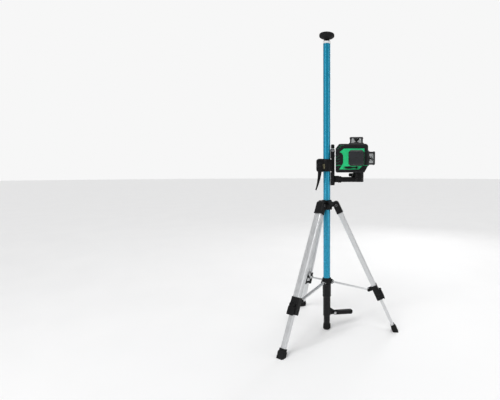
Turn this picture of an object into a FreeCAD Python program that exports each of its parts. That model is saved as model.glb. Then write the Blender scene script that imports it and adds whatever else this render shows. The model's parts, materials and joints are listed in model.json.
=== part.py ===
import FreeCAD, Part
import math
import os
from FreeCAD import Vector

# Laser level on a pole with a folding tripod. Millimetres, +Z up, origin on the floor on the pole's axis.
# The platform arm runs along +X, and the level's front window faces -Y.

# Clearances
RUN = 0.05  # radial clearance of a pin in its bore
GAP = 0.3  # between pieces that move past each other
EXTRA = 1.0  # how far a cutting tool runs past the face it cuts

# Pole
POLE_R = 12.0
POLE_WALL = 1.5
POLE_TOP = 968.0
POLE_BOTTOM = 125.0
RING_HEIGHT = 7.0
RING_PROUD = 0.5
STEM_INSERT = 35.0
BALL_R = 6.5
BALL_RISE = 11.0  # ball centre above the ring
PAD_R = 25.0
PAD_THICK = 10.0

# Jack at the foot of the pole
SLEEVE_TOP = 163.0
SLEEVE_STEP = 118.0
SLEEVE_BOTTOM = 50.0
SLEEVE_R = POLE_R + 2.5
PLUNGER_R = POLE_R - 1.0
SLEEVE_LOWER_R = PLUNGER_R + 1.75
PLUNGER_WALL = 2.0
PLUNGER_TOP = 105.0
PLUNGER_BOTTOM = 8.0
FOOT_R = PLUNGER_R + 2.0
FOOT_HEIGHT = 20.0
JACK_AZIMUTH = 17.0  # clear of the legs when they fold
JACK_PIVOT_X = SLEEVE_R + 13.5
JACK_PIVOT_Z = 55.0
JACK_EAR = 8.0  # thickness of the plate that carries the lever
JACK_PIN_R = 2.5
LEVER_END_X = JACK_PIVOT_X + 69.0
LEVER_EYE_R = 6.5
LEVER_WALL = 3.0
LEVER_DROOP = 5.0  # degrees below level
STUD_R = 3.0  # the threaded studs of the knobs and the clamp

# Spider and leg hinges
LEG_PIVOT_Z = 436.0
SPIDER_BOTTOM = LEG_PIVOT_Z - 16.0
SPIDER_TOP = LEG_PIVOT_Z + 17.0
SPIDER_R = POLE_R + 6.0
LEG_AZIMUTHS = (230.0, -10.0, 110.0)  # degrees from +X, anticlockwise from above
LEG_PIVOT_R = SPIDER_R + 15.0
LEG_TILT = 25.0
HINGE_PIN_R = 2.5
EYE_R = 7.0
TONGUE_WIDTH = 12.0
PIN_HEAD = 1.5  # thickness of a hinge pin's heads
KNOB_AZIMUTH = 290.0
SPIDER_KNOB_R = 8.0

# Legs, measured down the leg from its hinge
UPPER_WIDTH = 25.0
UPPER_DEPTH = 16.0
UPPER_WALL = 1.5
UPPER_START = 12.0
UPPER_END = 345.0
LOWER_WIDTH = UPPER_WIDTH - 7.0
LOWER_DEPTH = UPPER_DEPTH - 6.6
LOWER_WALL = 1.2
LOWER_START = UPPER_END - 83.0
ELBOW_RISE = 14.0  # the elbow's shoulder above its hinge
ELBOW_END = 30.0
ELBOW_WALL = 2.5
SHOULDER_R = 10.0
LOCK_START = UPPER_END - 23.0
LOCK_END = UPPER_END + 11.0
LOCK_WALL = 3.0
LOCK_LEVER_DROP = 6.0  # lever pivot below the top of the lock
FOOT_CAP_LENGTH = 17.0
FOOT_CAP_WALL = 4.0

# Struts from the hub to the legs
HUB_R = POLE_R + 3.0
HUB_HEIGHT = 20.0
HUB_PIVOT_R = POLE_R + 7.5
HUB_PIVOT_RISE = 5.5  # above the foot of the hub
STRUT_WIDTH = 11.0
STRUT_THICK = 3.0
STRUT_EYE_R = 3.5
STRUT_PIN_R = 1.5
CHEEK_THICK = 2.5
CLEVIS_REACH = LOCK_START - 10.0
CLEVIS_STAND = 22.0  # from the leg's middle line to the strut's outer pivot
STRUT_GROOVE = 3.0  # depth of the groove in the leg that the strut's end swings into

# Bracket on the pole
BRACKET_Z = SPIDER_TOP + 117.0
LINER_WALL = 1.2
LINER_HEIGHT = 42.0
CLAMP_HEIGHT = LINER_HEIGHT - 2.0
CLAMP_HALF = POLE_R + 5.0
CLAMP_LEFT = -POLE_R - 23.0
CLAMP_BOLT_X = -POLE_R - 14.0
CLAMP_LEVER_DROP = 81.0
RAIL_X = (POLE_R + 3.5, POLE_R + 14.0)
RAIL_BACK = POLE_R + 1.0  # the rail is this near the pole, above and below the clamp
RAIL_HALF = 8.0
RAIL_BELOW = 67.0
RAIL_ABOVE = 54.0
SCREW_R = 2.5
SLOT_HALF = 5.0
FINE_TRAVEL = 10.0
CARRIAGE_HEIGHT = 16.0
CARRIAGE_CHEEK = 4.5
KNOB_R = 6.0
KNOB_HEIGHT = 13.0

# Platform arm
ARM_PIVOT_X = RAIL_X[1] + 15.0
ARM_PIVOT_BELOW = 47.0  # below the bracket's middle
ARM_EYE_R = 9.0
ARM_EYE_WIDTH = 12.0
ARM_HALF = 12.0
ARM_THICK = 17.0
PIVOT_KNOB_R = 11.5
TURNTABLE_X = ARM_PIVOT_X + 67.0
TURNTABLE_R = 18.0
TURNTABLE_HEIGHT = 21.0
TURNTABLE_RISE = 23.0  # its top above the arm's pivot
PAN_KNOB_R = 5.8
PAN_STUD_R = 2.0
PAN_KNOB_DROP = 7.8  # below the turntable's top
MOUNT_SCREW_R = 7.9
SCREW_RISE = 9.0  # how far the mounting screw goes into the level

# Level, measured from the turntable's axis and top
LEVEL_YAW = -10.0  # degrees that the level is turned on its turntable
LEVEL_LEFT = -76.0
LEVEL_RIGHT = 32.0
LEVEL_HEIGHT = 95.0
LEVEL_HALF = 34.0
CORE_INSET = 3.0
BAND_INSET = 1.0
ARMOUR_FACE = 2.0  # thickness of the armour's front and rear faces
PANEL_PROUD = 1.0
FRONT_WRAP = 16.5
REAR_WRAP = 18.0
RIM = 3.5
WINDOW_X = -7.0  # the front and top windows, and the lasers behind them
WINDOW_Z = 48.0
WINDOW_FLANGE = 52.0
WINDOW_CAP = 46.0
WINDOW_STAND = 24.0
FLANGE_THICK = 4.0
BOSS_INSET = 6.0
BOSS_R = 3.2
CAP_THICK = 5.0
POST = 5.0
POST_INSET = 1.5
BOSS_RISE = 1.2  # above the flange
SEAT_THICK = 4.0
PRISM_RIM = 1.2
PANE_WALL = 1.5
CONE_R = 10.0
BEAM_R = 7.0
WALL_X = WINDOW_X - 31.0  # middle of the wall between the pendulum's chamber and the battery

POLE_BORE = POLE_R + RUN
X_AXIS = Vector(1, 0, 0)
Y_AXIS = Vector(0, 1, 0)
Z_AXIS = Vector(0, 0, 1)


def box(x, y, z):
    """A box from three (low, high) pairs."""
    return Part.makeBox(x[1] - x[0], y[1] - y[0], z[1] - z[0], Vector(x[0], y[0], z[0]))


def rod(radius, start, end):
    """A round rod between two points."""
    start, end = Vector(*start), Vector(*end)
    return Part.makeCylinder(radius, (end - start).Length, start, end - start)


def tube(outer, inner, start, end):
    """A round tube between two points, open at both ends."""
    return rod(outer, start, end).cut(rod(inner, start, end))


def turned(profile, at=(0, 0, 0)):
    """A closed (radius, height) profile turned about the vertical through a point."""
    points = [Vector(at[0] + r, at[1], at[2] + z) for r, z in profile]
    face = Part.Face(Part.makePolygon(points + points[:1]))
    return face.revolve(Vector(*at), Z_AXIS, 360)


def prism_y(outline, y):
    """An outline of (x, z) points carried along Y between two values."""
    points = [Vector(x, y[0], z) for x, z in outline]
    return Part.Face(Part.makePolygon(points + points[:1])).extrude(Vector(0, y[1] - y[0], 0))


def joined(*shapes):
    """One solid from several that touch or overlap."""
    whole = shapes[0]
    for shape in shapes[1:]:
        whole = whole.fuse(shape)
    return whole.removeSplitter()


def cut(shape, *tools):
    """A shape with each tool taken out of it."""
    for tool in tools:
        shape = shape.cut(tool)
    return shape


def along(shape, axis):
    """The straight edges that run along an axis."""
    found = []
    for edge in shape.Edges:
        ends = [vertex.Point for vertex in edge.Vertexes]
        if len(ends) == 2 and edge.Curve.TypeId == "Part::GeomLine":
            if abs((ends[1] - ends[0]).normalize().dot(axis)) > 0.9999:
                found.append(edge)
    return found


def rounded(shape, radius, axis):
    """A shape with the edges that run along an axis rounded."""
    return shape.makeFillet(radius, along(shape, axis))


def rim_edges(shape, axis, value):
    """The edges that lie in the plane where a coordinate has a value."""
    return [
        edge
        for edge in shape.Edges
        if all(abs(vertex.Point.dot(axis) - value) < 0.001 for vertex in edge.Vertexes)
        and abs(edge.CenterOfMass.dot(axis) - value) < 0.001
    ]


def placed(shape, placement):
    """A copy of a shape carried to a placement."""
    moved = shape.copy()
    moved.transformShape(placement.toMatrix(), True)
    return moved


def turn(axis, degrees, centre=(0, 0, 0)):
    """The placement that turns a shape about an axis through a point."""
    return FreeCAD.Placement(Vector(), FreeCAD.Rotation(axis, degrees), Vector(*centre))


def shift(x, y, z):
    """The placement that moves a shape."""
    return FreeCAD.Placement(Vector(x, y, z), FreeCAD.Rotation())


def knob(radius, height, lobes, scallop):
    """A lobed knob standing on the XY plane."""
    body = Part.makeCylinder(radius, height)
    body = body.makeChamfer(min(1.2, height / 6), rim_edges(body, Z_AXIS, height))
    for count in range(lobes):
        angle = math.radians(360 * count / lobes)
        reach = radius + scallop * 0.55
        at = (reach * math.cos(angle), reach * math.sin(angle))
        body = body.cut(rod(scallop, (*at, -EXTRA), (*at, height + EXTRA)))
    return body


def save(name, *solids):
    """Write one piece, or a group of identical pieces, to its STEP file."""
    shape = solids[0] if len(solids) == 1 else Part.makeCompound(solids)
    if not shape.isValid():
        print("not valid:", name)
    print(f"{name:18s} {len(shape.Solids):3d} solids  {shape.Volume / 1000:9.2f} cm3")
    shape.exportStep(os.path.join("parts", name + ".step"))


# ---------------------------------------------------------------- pole

RING_TOP = POLE_TOP + RING_HEIGHT
BALL_Z = RING_TOP + BALL_RISE
PAD_BOTTOM = BALL_Z - BALL_R / 2
PAD_TOP = BALL_Z + PAD_THICK + 4.0


def pole():
    """The tube, the ring on its top, and the stem and pad that press on a ceiling."""
    save("pole_tube", tube(POLE_R, POLE_R - POLE_WALL, (0, 0, POLE_BOTTOM), (0, 0, POLE_TOP)))
    ring = tube(POLE_R + RING_PROUD, POLE_R - POLE_WALL, (0, 0, POLE_TOP), (0, 0, RING_TOP))
    save("pole_ring", ring)

    stem_r = POLE_R - POLE_WALL - RUN
    shoulder = RING_TOP + GAP
    neck_r = BALL_R * 0.6
    profile = [
        (0, POLE_TOP - STEM_INSERT),
        (stem_r, POLE_TOP - STEM_INSERT),
        (stem_r, shoulder),
        (POLE_R, shoulder),
        (POLE_R, shoulder + 1.5),
        (neck_r, shoulder + 4.5),
        (neck_r, BALL_Z),
        (0, BALL_Z),
    ]
    ball = Part.makeSphere(BALL_R, Vector(0, 0, BALL_Z))
    save("pad_stem", joined(turned(profile), ball))

    boss_r = BALL_R + 3.0
    pad = turned([
        (0, PAD_BOTTOM),
        (boss_r, PAD_BOTTOM),
        (PAD_R - 3, PAD_TOP - PAD_THICK - 1),
        (PAD_R, PAD_TOP - PAD_THICK + 2),
        (PAD_R, PAD_TOP - 2.5),
        (PAD_R - 2.5, PAD_TOP),
        (0, PAD_TOP),
    ])
    socket = Part.makeSphere(BALL_R + GAP, Vector(0, 0, BALL_Z))
    save("top_pad", pad.cut(socket))


# ---------------------------------------------------------------- jack


def jack():
    """The sleeve under the tube, the plunger in it with its rubber foot, and the hand lever."""
    bore = PLUNGER_R + RUN
    sleeve = joined(
        rod(SLEEVE_LOWER_R, (0, 0, SLEEVE_BOTTOM), (0, 0, SLEEVE_STEP)),
        turned([
            (0, SLEEVE_STEP - 3),
            (SLEEVE_LOWER_R, SLEEVE_STEP - 3),
            (SLEEVE_R, SLEEVE_STEP),
            (SLEEVE_R, SLEEVE_TOP - 1),
            (SLEEVE_R - 1, SLEEVE_TOP),
            (0, SLEEVE_TOP),
        ]),
    )
    ear_half = JACK_EAR / 2
    ear_r = 6.0
    ear = prism_y(
        [
            (0, SLEEVE_BOTTOM),
            (SLEEVE_LOWER_R + 3, SLEEVE_BOTTOM),
            (JACK_PIVOT_X + 2, JACK_PIVOT_Z - ear_r + 0.5),
            (JACK_PIVOT_X + 4, JACK_PIVOT_Z + 4.3),
            (SLEEVE_LOWER_R + 2, JACK_PIVOT_Z + 18.5),
            (0, JACK_PIVOT_Z + 18.5),
        ],
        (-ear_half, ear_half),
    )
    tip = rod(ear_r, (JACK_PIVOT_X, -ear_half, JACK_PIVOT_Z), (JACK_PIVOT_X, ear_half, JACK_PIVOT_Z))
    pin_half = ear_half + GAP + LEVER_WALL
    pin_ends = (JACK_PIVOT_X, -pin_half, JACK_PIVOT_Z), (JACK_PIVOT_X, pin_half, JACK_PIVOT_Z)
    sleeve = cut(
        joined(sleeve, ear, tip),
        rod(POLE_R, (0, 0, POLE_BOTTOM), (0, 0, SLEEVE_TOP + EXTRA)),
        rod(bore, (0, 0, SLEEVE_BOTTOM - EXTRA), (0, 0, POLE_BOTTOM + EXTRA)),
        rod(JACK_PIN_R, *pin_ends),
    )
    save("jack_sleeve", placed(sleeve, azimuth(JACK_AZIMUTH)))

    plunger = cut(
        rod(PLUNGER_R, (0, 0, PLUNGER_BOTTOM), (0, 0, PLUNGER_TOP)),
        rod(PLUNGER_R - PLUNGER_WALL, (0, 0, PLUNGER_BOTTOM + 4), (0, 0, PLUNGER_TOP + EXTRA)),
    )
    save("jack_plunger", plunger)

    foot = turned([
        (0, 0),
        (FOOT_R - 2, 0),
        (FOOT_R, 2.5),
        (FOOT_R + 0.5, FOOT_HEIGHT * 0.45),
        (FOOT_R - 0.3, FOOT_HEIGHT - 2),
        (FOOT_R - 1.3, FOOT_HEIGHT),
        (PLUNGER_R, FOOT_HEIGHT),
        (PLUNGER_R, PLUNGER_BOTTOM),
        (0, PLUNGER_BOTTOM),
    ])
    save("pole_foot", foot)

    head_r = JACK_PIN_R + 1.5
    pin = [rod(JACK_PIN_R, *pin_ends)]
    for side in (-1, 1):
        start = (JACK_PIVOT_X, side * (pin_half + GAP), JACK_PIVOT_Z)
        end = (JACK_PIVOT_X, side * (pin_half + GAP + 1.2), JACK_PIVOT_Z)
        stub = rod(JACK_PIN_R, (JACK_PIVOT_X, side * pin_half, JACK_PIVOT_Z), start)
        pin += [stub, rod(head_r, start, end)]
    save("jack_pin", placed(joined(*pin), azimuth(JACK_AZIMUTH)))

    outer = ear_half + GAP + LEVER_WALL
    top = JACK_PIVOT_Z + 5
    web_start = JACK_PIVOT_X + 14
    cheek_outline = [
        (JACK_PIVOT_X, JACK_PIVOT_Z - LEVER_EYE_R),
        (LEVER_END_X - 4, top - 13),
        (LEVER_END_X, top - 10),
        (LEVER_END_X, top),
        (JACK_PIVOT_X, top),
    ]
    pivot = (JACK_PIVOT_X, -outer, JACK_PIVOT_Z), (JACK_PIVOT_X, outer, JACK_PIVOT_Z)
    lever = joined(prism_y(cheek_outline, (-outer, outer)), rod(LEVER_EYE_R, *pivot))
    inside = outer - LEVER_WALL
    lever = cut(
        lever,
        box((0, web_start), (-inside, inside), (0, JACK_PIVOT_Z + LEVER_EYE_R + EXTRA)),
        box((0, LEVER_END_X - LEVER_WALL), (-inside, inside), (0, top - LEVER_WALL)),
        rod(JACK_PIN_R + RUN, *pivot),
    )
    droop = turn(Y_AXIS, LEVER_DROOP, (JACK_PIVOT_X, 0, JACK_PIVOT_Z))
    save("jack_lever", placed(lever, azimuth(JACK_AZIMUTH).multiply(droop)))


# ---------------------------------------------------------------- spider


def azimuth(degrees):
    """The placement that turns a piece made toward +X to an azimuth."""
    return turn(Z_AXIS, degrees)


def leg_place(degrees):
    """Where a leg's pieces go: made with the hinge at the origin, the leg along -Z and outward +X."""
    tilted = FreeCAD.Placement(
        Vector(LEG_PIVOT_R, 0, LEG_PIVOT_Z), FreeCAD.Rotation(Y_AXIS, -LEG_TILT)
    )
    return azimuth(degrees).multiply(tilted)


KNOB_BOSS_R = 7.0
KNOB_FACE = SPIDER_R + 7.0
SPIDER_KNOB_Z = SPIDER_TOP - 10.0
ELBOW_HALF = UPPER_WIDTH / 2 + ELBOW_WALL


def spider():
    """The collar that slides on the pole, its leg lugs, the clamping knob and the hinge pins."""
    neck = SPIDER_R - 1.5
    collar = turned([
        (POLE_BORE, SPIDER_BOTTOM),
        (neck, SPIDER_BOTTOM),
        (SPIDER_R, SPIDER_BOTTOM + 1.5),
        (SPIDER_R, SPIDER_TOP - 11),
        (neck, SPIDER_TOP - 9),
        (neck, SPIDER_TOP - 1),
        (neck - 1, SPIDER_TOP),
        (POLE_BORE, SPIDER_TOP),
    ])
    half = TONGUE_WIDTH / 2
    pin_end = ELBOW_HALF + GAP
    plate = box((POLE_R + 2, LEG_PIVOT_R), (-half, half), (LEG_PIVOT_Z - EYE_R + 1, LEG_PIVOT_Z + EYE_R))
    end = rod(EYE_R, (LEG_PIVOT_R, -half, LEG_PIVOT_Z), (LEG_PIVOT_R, half, LEG_PIVOT_Z))
    pin = rod(HINGE_PIN_R, (LEG_PIVOT_R, -pin_end, LEG_PIVOT_Z), (LEG_PIVOT_R, pin_end, LEG_PIVOT_Z))
    tongue = cut(joined(plate, end), pin)
    heads = []
    for side in (-1, 1):
        start, stop = side * pin_end, side * (pin_end + PIN_HEAD)
        heads.append(rod(HINGE_PIN_R + 1.5, (LEG_PIVOT_R, start, LEG_PIVOT_Z), (LEG_PIVOT_R, stop, LEG_PIVOT_Z)))
    pin = joined(pin, *heads)

    body = collar
    pins = []
    for degrees in LEG_AZIMUTHS:
        body = body.fuse(placed(tongue, azimuth(degrees)))
        pins.append(placed(pin, azimuth(degrees)))
    boss = rod(KNOB_BOSS_R, (POLE_R + 1, 0, SPIDER_KNOB_Z), (KNOB_FACE, 0, SPIDER_KNOB_Z))
    body = body.fuse(placed(boss, azimuth(KNOB_AZIMUTH)))
    stud_hole = rod(STUD_R + RUN, (0, 0, SPIDER_KNOB_Z), (KNOB_FACE + EXTRA, 0, SPIDER_KNOB_Z))
    body = cut(
        body,
        placed(stud_hole, azimuth(KNOB_AZIMUTH)),
        rod(POLE_BORE, (0, 0, SPIDER_BOTTOM - EXTRA), (0, 0, SPIDER_TOP + EXTRA)),
    ).removeSplitter()
    save("spider", body)
    save("hinge_pins", *pins)

    stud = rod(STUD_R, (POLE_R + GAP, 0, SPIDER_KNOB_Z), (KNOB_FACE + 3, 0, SPIDER_KNOB_Z))
    grip = placed(knob(SPIDER_KNOB_R, 12, 6, 2.6), turn(Y_AXIS, 90))
    grip = placed(grip, shift(KNOB_FACE + GAP, 0, SPIDER_KNOB_Z))
    save("spider_knob", placed(joined(stud, grip), azimuth(KNOB_AZIMUTH)))


# ---------------------------------------------------------------- legs

CHEEK_GAP = STRUT_WIDTH / 2 + GAP
SLIDE_GAP = 0.25  # between the two leg sections
CAVITY_WIDTH = LOWER_WIDTH + 2 * SLIDE_GAP
CAVITY_DEPTH = LOWER_DEPTH + 2 * SLIDE_GAP
CAVITY_X = UPPER_DEPTH / 2 - UPPER_WALL - CAVITY_DEPTH / 2
LEG_LENGTH = LEG_PIVOT_Z / math.cos(math.radians(LEG_TILT))


def leg_bar(depth, width, start, end, middle=0.0, corner=2.0):
    """A bar down the leg with rounded long edges."""
    bar = box((middle - depth / 2, middle + depth / 2), (-width / 2, width / 2), (-end, -start))
    return rounded(bar, corner, Z_AXIS)


def leg_upper():
    """The upper section: an extrusion with grooves, hollow for the lower section."""
    outer = leg_bar(UPPER_DEPTH, UPPER_WIDTH, UPPER_START, UPPER_END, corner=3.0)
    hollow = leg_bar(CAVITY_DEPTH, CAVITY_WIDTH, UPPER_START + 8, UPPER_END + EXTRA, CAVITY_X, 1.0)
    face = UPPER_DEPTH / 2
    span = (-UPPER_END - EXTRA, -UPPER_START + EXTRA)
    strut_groove = box((-face - EXTRA, -face + STRUT_GROOVE), (-CHEEK_GAP, CHEEK_GAP), span)
    outer_groove = box((face - 0.8, face + EXTRA), (-4.0, 4.0), span)
    grooves = [strut_groove, outer_groove]
    for side in (-1, 1):
        edge = side * UPPER_WIDTH / 2
        y = sorted((edge - side * 0.8, edge + side * EXTRA))
        grooves.append(box((-2.5, 2.5), y, span))
    return cut(outer, hollow, *grooves)


def leg_elbow():
    """The moulded shoulder of a leg: cheeks either side of the spider's tongue over a socket for the leg."""
    depth = UPPER_DEPTH / 2 + ELBOW_WALL
    body = box((-depth, depth), (-ELBOW_HALF, ELBOW_HALF), (-ELBOW_END, ELBOW_RISE))
    for x, radius in ((depth, SHOULDER_R), (-depth, 3.0)):
        corner = [
            edge for edge in along(body, Y_AXIS)
            if abs(edge.CenterOfMass.x - x) < 0.01 and edge.CenterOfMass.z > ELBOW_RISE - 0.01
        ]
        body = body.makeFillet(radius, corner)
    body = rounded(body, 3.0, Z_AXIS)
    slot_half = TONGUE_WIDTH / 2 + GAP
    slot = box((-depth - EXTRA, EYE_R + GAP), (-slot_half, slot_half), (-EYE_R - 1.5, ELBOW_RISE + EXTRA))
    held = leg_bar(UPPER_DEPTH, UPPER_WIDTH, UPPER_START, UPPER_END, corner=3.0)
    return cut(body, slot, held, rod(HINGE_PIN_R + RUN, (0, -ELBOW_HALF, 0), (0, ELBOW_HALF, 0)))


LOCK_FACE = UPPER_DEPTH / 2 + LOCK_WALL
LEVER_PIVOT_X = LOCK_FACE + 3.0
LEVER_PIVOT_DROP = LOCK_START + LOCK_LEVER_DROP
LEVER_EAR_R = 4.0
LEVER_PIN_R = 1.5
LEVER_EYE_HALF = 6.5


def leg_lock():
    """The moulded collar at the foot of the upper section, with the strut's clevis on its inner side."""
    face = UPPER_DEPTH / 2
    body = box((-face - 2, LOCK_FACE), (-UPPER_WIDTH / 2 - LOCK_WALL, UPPER_WIDTH / 2 + LOCK_WALL),
               (-LOCK_END, -LOCK_START))
    body = rounded(body, 3.0, Z_AXIS)
    band = box((-face - 2, face + 2), (-UPPER_WIDTH / 2 - 2, UPPER_WIDTH / 2 + 2),
               (-LOCK_START - EXTRA, -CLEVIS_REACH + 8))
    band = rounded(band, 2.5, Z_AXIS)
    pieces = [body, band]
    out = CHEEK_GAP + CHEEK_THICK
    for side in (-1, 1):
        y = sorted((side * CHEEK_GAP, side * out))
        pieces.append(box((-CLEVIS_STAND, -face), y, (-CLEVIS_REACH - 5, -CLEVIS_REACH + 5)))
        pieces.append(rod(5.0, (-CLEVIS_STAND, y[0], -CLEVIS_REACH), (-CLEVIS_STAND, y[1], -CLEVIS_REACH)))
        rivet = [(-CLEVIS_STAND, side * reach, -CLEVIS_REACH) for reach in (out, out + 1.0)]
        pieces.append(rod(2.8, *rivet))
        ear = sorted((side * (LEVER_EYE_HALF + GAP), side * (LEVER_EYE_HALF + GAP + 3)))
        z = (-LEVER_PIVOT_DROP - LEVER_EAR_R, -LEVER_PIVOT_DROP + LEVER_EAR_R)
        pieces.append(box((LOCK_FACE - 1, LEVER_PIVOT_X), ear, z))
        at = (LEVER_PIVOT_X, ear[0], -LEVER_PIVOT_DROP), (LEVER_PIVOT_X, ear[1], -LEVER_PIVOT_DROP)
        pieces.append(rod(LEVER_EAR_R, *at))
    reach = LEVER_EYE_HALF + GAP + 1
    pieces.append(rod(LEVER_PIN_R, (LEVER_PIVOT_X, -reach, -LEVER_PIVOT_DROP),
                      (LEVER_PIVOT_X, reach, -LEVER_PIVOT_DROP)))
    lower_bore = leg_bar(CAVITY_DEPTH, CAVITY_WIDTH, UPPER_END - EXTRA, LOCK_END + EXTRA, CAVITY_X, 1.0)
    path = box((-CLEVIS_STAND - 9, -face + STRUT_GROOVE), (-CHEEK_GAP, CHEEK_GAP),
               (-LOCK_END - EXTRA, -CLEVIS_REACH + 9))
    held = leg_bar(UPPER_DEPTH, UPPER_WIDTH, UPPER_START, UPPER_END, corner=3.0)
    return cut(joined(*pieces), held, lower_bore, path)


def lock_lever():
    """The over-centre lever on the outside of a lock."""
    pivot = (LEVER_PIVOT_X, -LEVER_EYE_HALF, -LEVER_PIVOT_DROP), (LEVER_PIVOT_X, LEVER_EYE_HALF, -LEVER_PIVOT_DROP)
    eye_r = LEVER_PIVOT_X - LOCK_FACE - GAP
    inner = LOCK_FACE + GAP
    arm_top = -LEVER_PIVOT_DROP - LEVER_EAR_R - 1.5
    neck = box((inner, LEVER_PIVOT_X + eye_r), (-LEVER_EYE_HALF, LEVER_EYE_HALF),
               (arm_top - 3, -LEVER_PIVOT_DROP))
    outline = [
        (inner, arm_top),
        (inner, -LOCK_END + 2),
        (inner + 3, -LOCK_END - 3),
        (inner + 5.5, -LOCK_END - 3),
        (inner + 5.5, arm_top),
    ]
    arm = prism_y(outline, (-12.0, 12.0))
    arm = rounded(arm, 2.0, X_AXIS)
    return cut(joined(rod(eye_r, *pivot), neck, arm), rod(LEVER_PIN_R + RUN, *pivot))


def leg_lower():
    """The lower section, a rounded rectangular tube."""
    end = LEG_LENGTH - 8
    outer = leg_bar(LOWER_DEPTH, LOWER_WIDTH, LOWER_START, end, CAVITY_X, 2.0)
    inner = leg_bar(LOWER_DEPTH - 2 * LOWER_WALL, LOWER_WIDTH - 2 * LOWER_WALL, LOWER_START - EXTRA,
                    end - 3, CAVITY_X, 1.0)
    return outer.cut(inner)


def leg_foot():
    """The rubber cap on the lower section, before its sole is cut level with the floor."""
    end = LEG_LENGTH - 8
    cap = leg_bar(LOWER_DEPTH + 2 * FOOT_CAP_WALL, LOWER_WIDTH + 2 * FOOT_CAP_WALL,
                  LEG_LENGTH - FOOT_CAP_LENGTH, LEG_LENGTH + 12, CAVITY_X, 4.0)
    collar = leg_bar(LOWER_DEPTH + 4, LOWER_WIDTH + 4, LEG_LENGTH - FOOT_CAP_LENGTH - 8,
                     LEG_LENGTH - FOOT_CAP_LENGTH + EXTRA, CAVITY_X, 2.5)
    held = leg_bar(LOWER_DEPTH, LOWER_WIDTH, LOWER_START, end, CAVITY_X, 2.0)
    return cut(joined(cap, collar), held)


def legs():
    """Three legs, each carried from its own frame to its place."""
    under_floor = box((-400, 400), (-400, 400), (-60, 0))
    collar_room = rod(SPIDER_R + 0.8, (0, 0, SPIDER_BOTTOM - 20), (0, 0, SPIDER_TOP + 20))
    pieces = {
        "leg_elbow": leg_elbow(),
        "leg_upper": leg_upper(),
        "leg_lock": leg_lock(),
        "lock_lever": lock_lever(),
        "leg_lower": leg_lower(),
        "leg_foot": leg_foot(),
    }
    for number, degrees in enumerate(LEG_AZIMUTHS, 1):
        for name, piece in pieces.items():
            shape = placed(piece, leg_place(degrees))
            if name == "leg_foot":
                shape = shape.cut(under_floor)
            if name == "leg_elbow":
                shape = shape.cut(collar_room)
            save(f"{name}_{number}", shape)


# ---------------------------------------------------------------- hub and struts

HUB_BOTTOM = SLEEVE_TOP + GAP
HUB_PIVOT_Z = HUB_BOTTOM + HUB_PIVOT_RISE
TILT = math.radians(LEG_TILT)
CLEVIS_R = LEG_PIVOT_R + CLEVIS_REACH * math.sin(TILT) - CLEVIS_STAND * math.cos(TILT)
CLEVIS_Z = LEG_PIVOT_Z - CLEVIS_REACH * math.cos(TILT) - CLEVIS_STAND * math.sin(TILT)
STRUT_LENGTH = math.hypot(CLEVIS_R - HUB_PIVOT_R, HUB_PIVOT_Z - CLEVIS_Z)
STRUT_DROP = math.degrees(math.atan2(HUB_PIVOT_Z - CLEVIS_Z, CLEVIS_R - HUB_PIVOT_R))


def hub_and_struts():
    """The hub that rides on the pole above the jack, and the three struts that spread the legs."""
    out = CHEEK_GAP + CHEEK_THICK
    cheek_r = HUB_PIVOT_RISE - 1.0
    body = turned([
        (POLE_BORE, HUB_BOTTOM),
        (HUB_R, HUB_BOTTOM),
        (HUB_R, HUB_BOTTOM + HUB_HEIGHT - 2),
        (HUB_R - 1.5, HUB_BOTTOM + HUB_HEIGHT),
        (POLE_BORE, HUB_BOTTOM + HUB_HEIGHT),
    ])
    pin = rod(STRUT_PIN_R, (HUB_PIVOT_R, -out, HUB_PIVOT_Z), (HUB_PIVOT_R, out, HUB_PIVOT_Z))
    pins = []
    for degrees in LEG_AZIMUTHS:
        for side in (-1, 1):
            y = sorted((side * CHEEK_GAP, side * out))
            plate = box((POLE_R - 3, HUB_PIVOT_R), y, (HUB_PIVOT_Z - cheek_r, HUB_PIVOT_Z + cheek_r + 3))
            end = rod(cheek_r, (HUB_PIVOT_R, y[0], HUB_PIVOT_Z), (HUB_PIVOT_R, y[1], HUB_PIVOT_Z))
            body = body.fuse(placed(plate, azimuth(degrees))).fuse(placed(end, azimuth(degrees)))
        body = body.cut(placed(pin, azimuth(degrees)))
        pins.append(placed(pin, azimuth(degrees)))
    body = body.cut(rod(POLE_BORE, (0, 0, HUB_BOTTOM - EXTRA), (0, 0, HUB_BOTTOM + HUB_HEIGHT + EXTRA)))
    save("brace_hub", body.removeSplitter())
    save("hub_pins", *pins)

    half = STRUT_WIDTH / 2
    thick = STRUT_THICK / 2
    bar = box((0, STRUT_LENGTH), (-half, half), (-thick, thick))
    eyes = [rod(STRUT_EYE_R, (x, -half, 0), (x, half, 0)) for x in (0, STRUT_LENGTH)]
    channel = box((STRUT_EYE_R + 4, STRUT_LENGTH - STRUT_EYE_R - 4), (-half + 2.5, half - 2.5),
                  (thick - 1.0, thick + EXTRA))
    strut = cut(joined(bar, *eyes), channel, rod(STRUT_PIN_R + RUN, (0, -half, 0), (0, half, 0)))
    at_hub = FreeCAD.Placement(
        Vector(HUB_PIVOT_R, 0, HUB_PIVOT_Z), FreeCAD.Rotation(Y_AXIS, STRUT_DROP)
    )
    for number, degrees in enumerate(LEG_AZIMUTHS, 1):
        save(f"strut_{number}", placed(strut, azimuth(degrees).multiply(at_hub)))


# ---------------------------------------------------------------- bracket

LINER_R = POLE_R + RUN + LINER_WALL
CLAMP_BORE = LINER_R + RUN
RAIL_BOTTOM = BRACKET_Z - RAIL_BELOW
RAIL_TOP = BRACKET_Z + RAIL_ABOVE
SCREW_X = RAIL_X[0] + 4.5
ARM_PIVOT_Z = BRACKET_Z - ARM_PIVOT_BELOW
CARRIAGE_HALF = ARM_EYE_WIDTH / 2 + GAP + CARRIAGE_CHEEK
CLAMP_FRONT = -CLAMP_HALF + 3.0
CLAMP_LEVER_Y = CLAMP_FRONT - GAP


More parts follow.
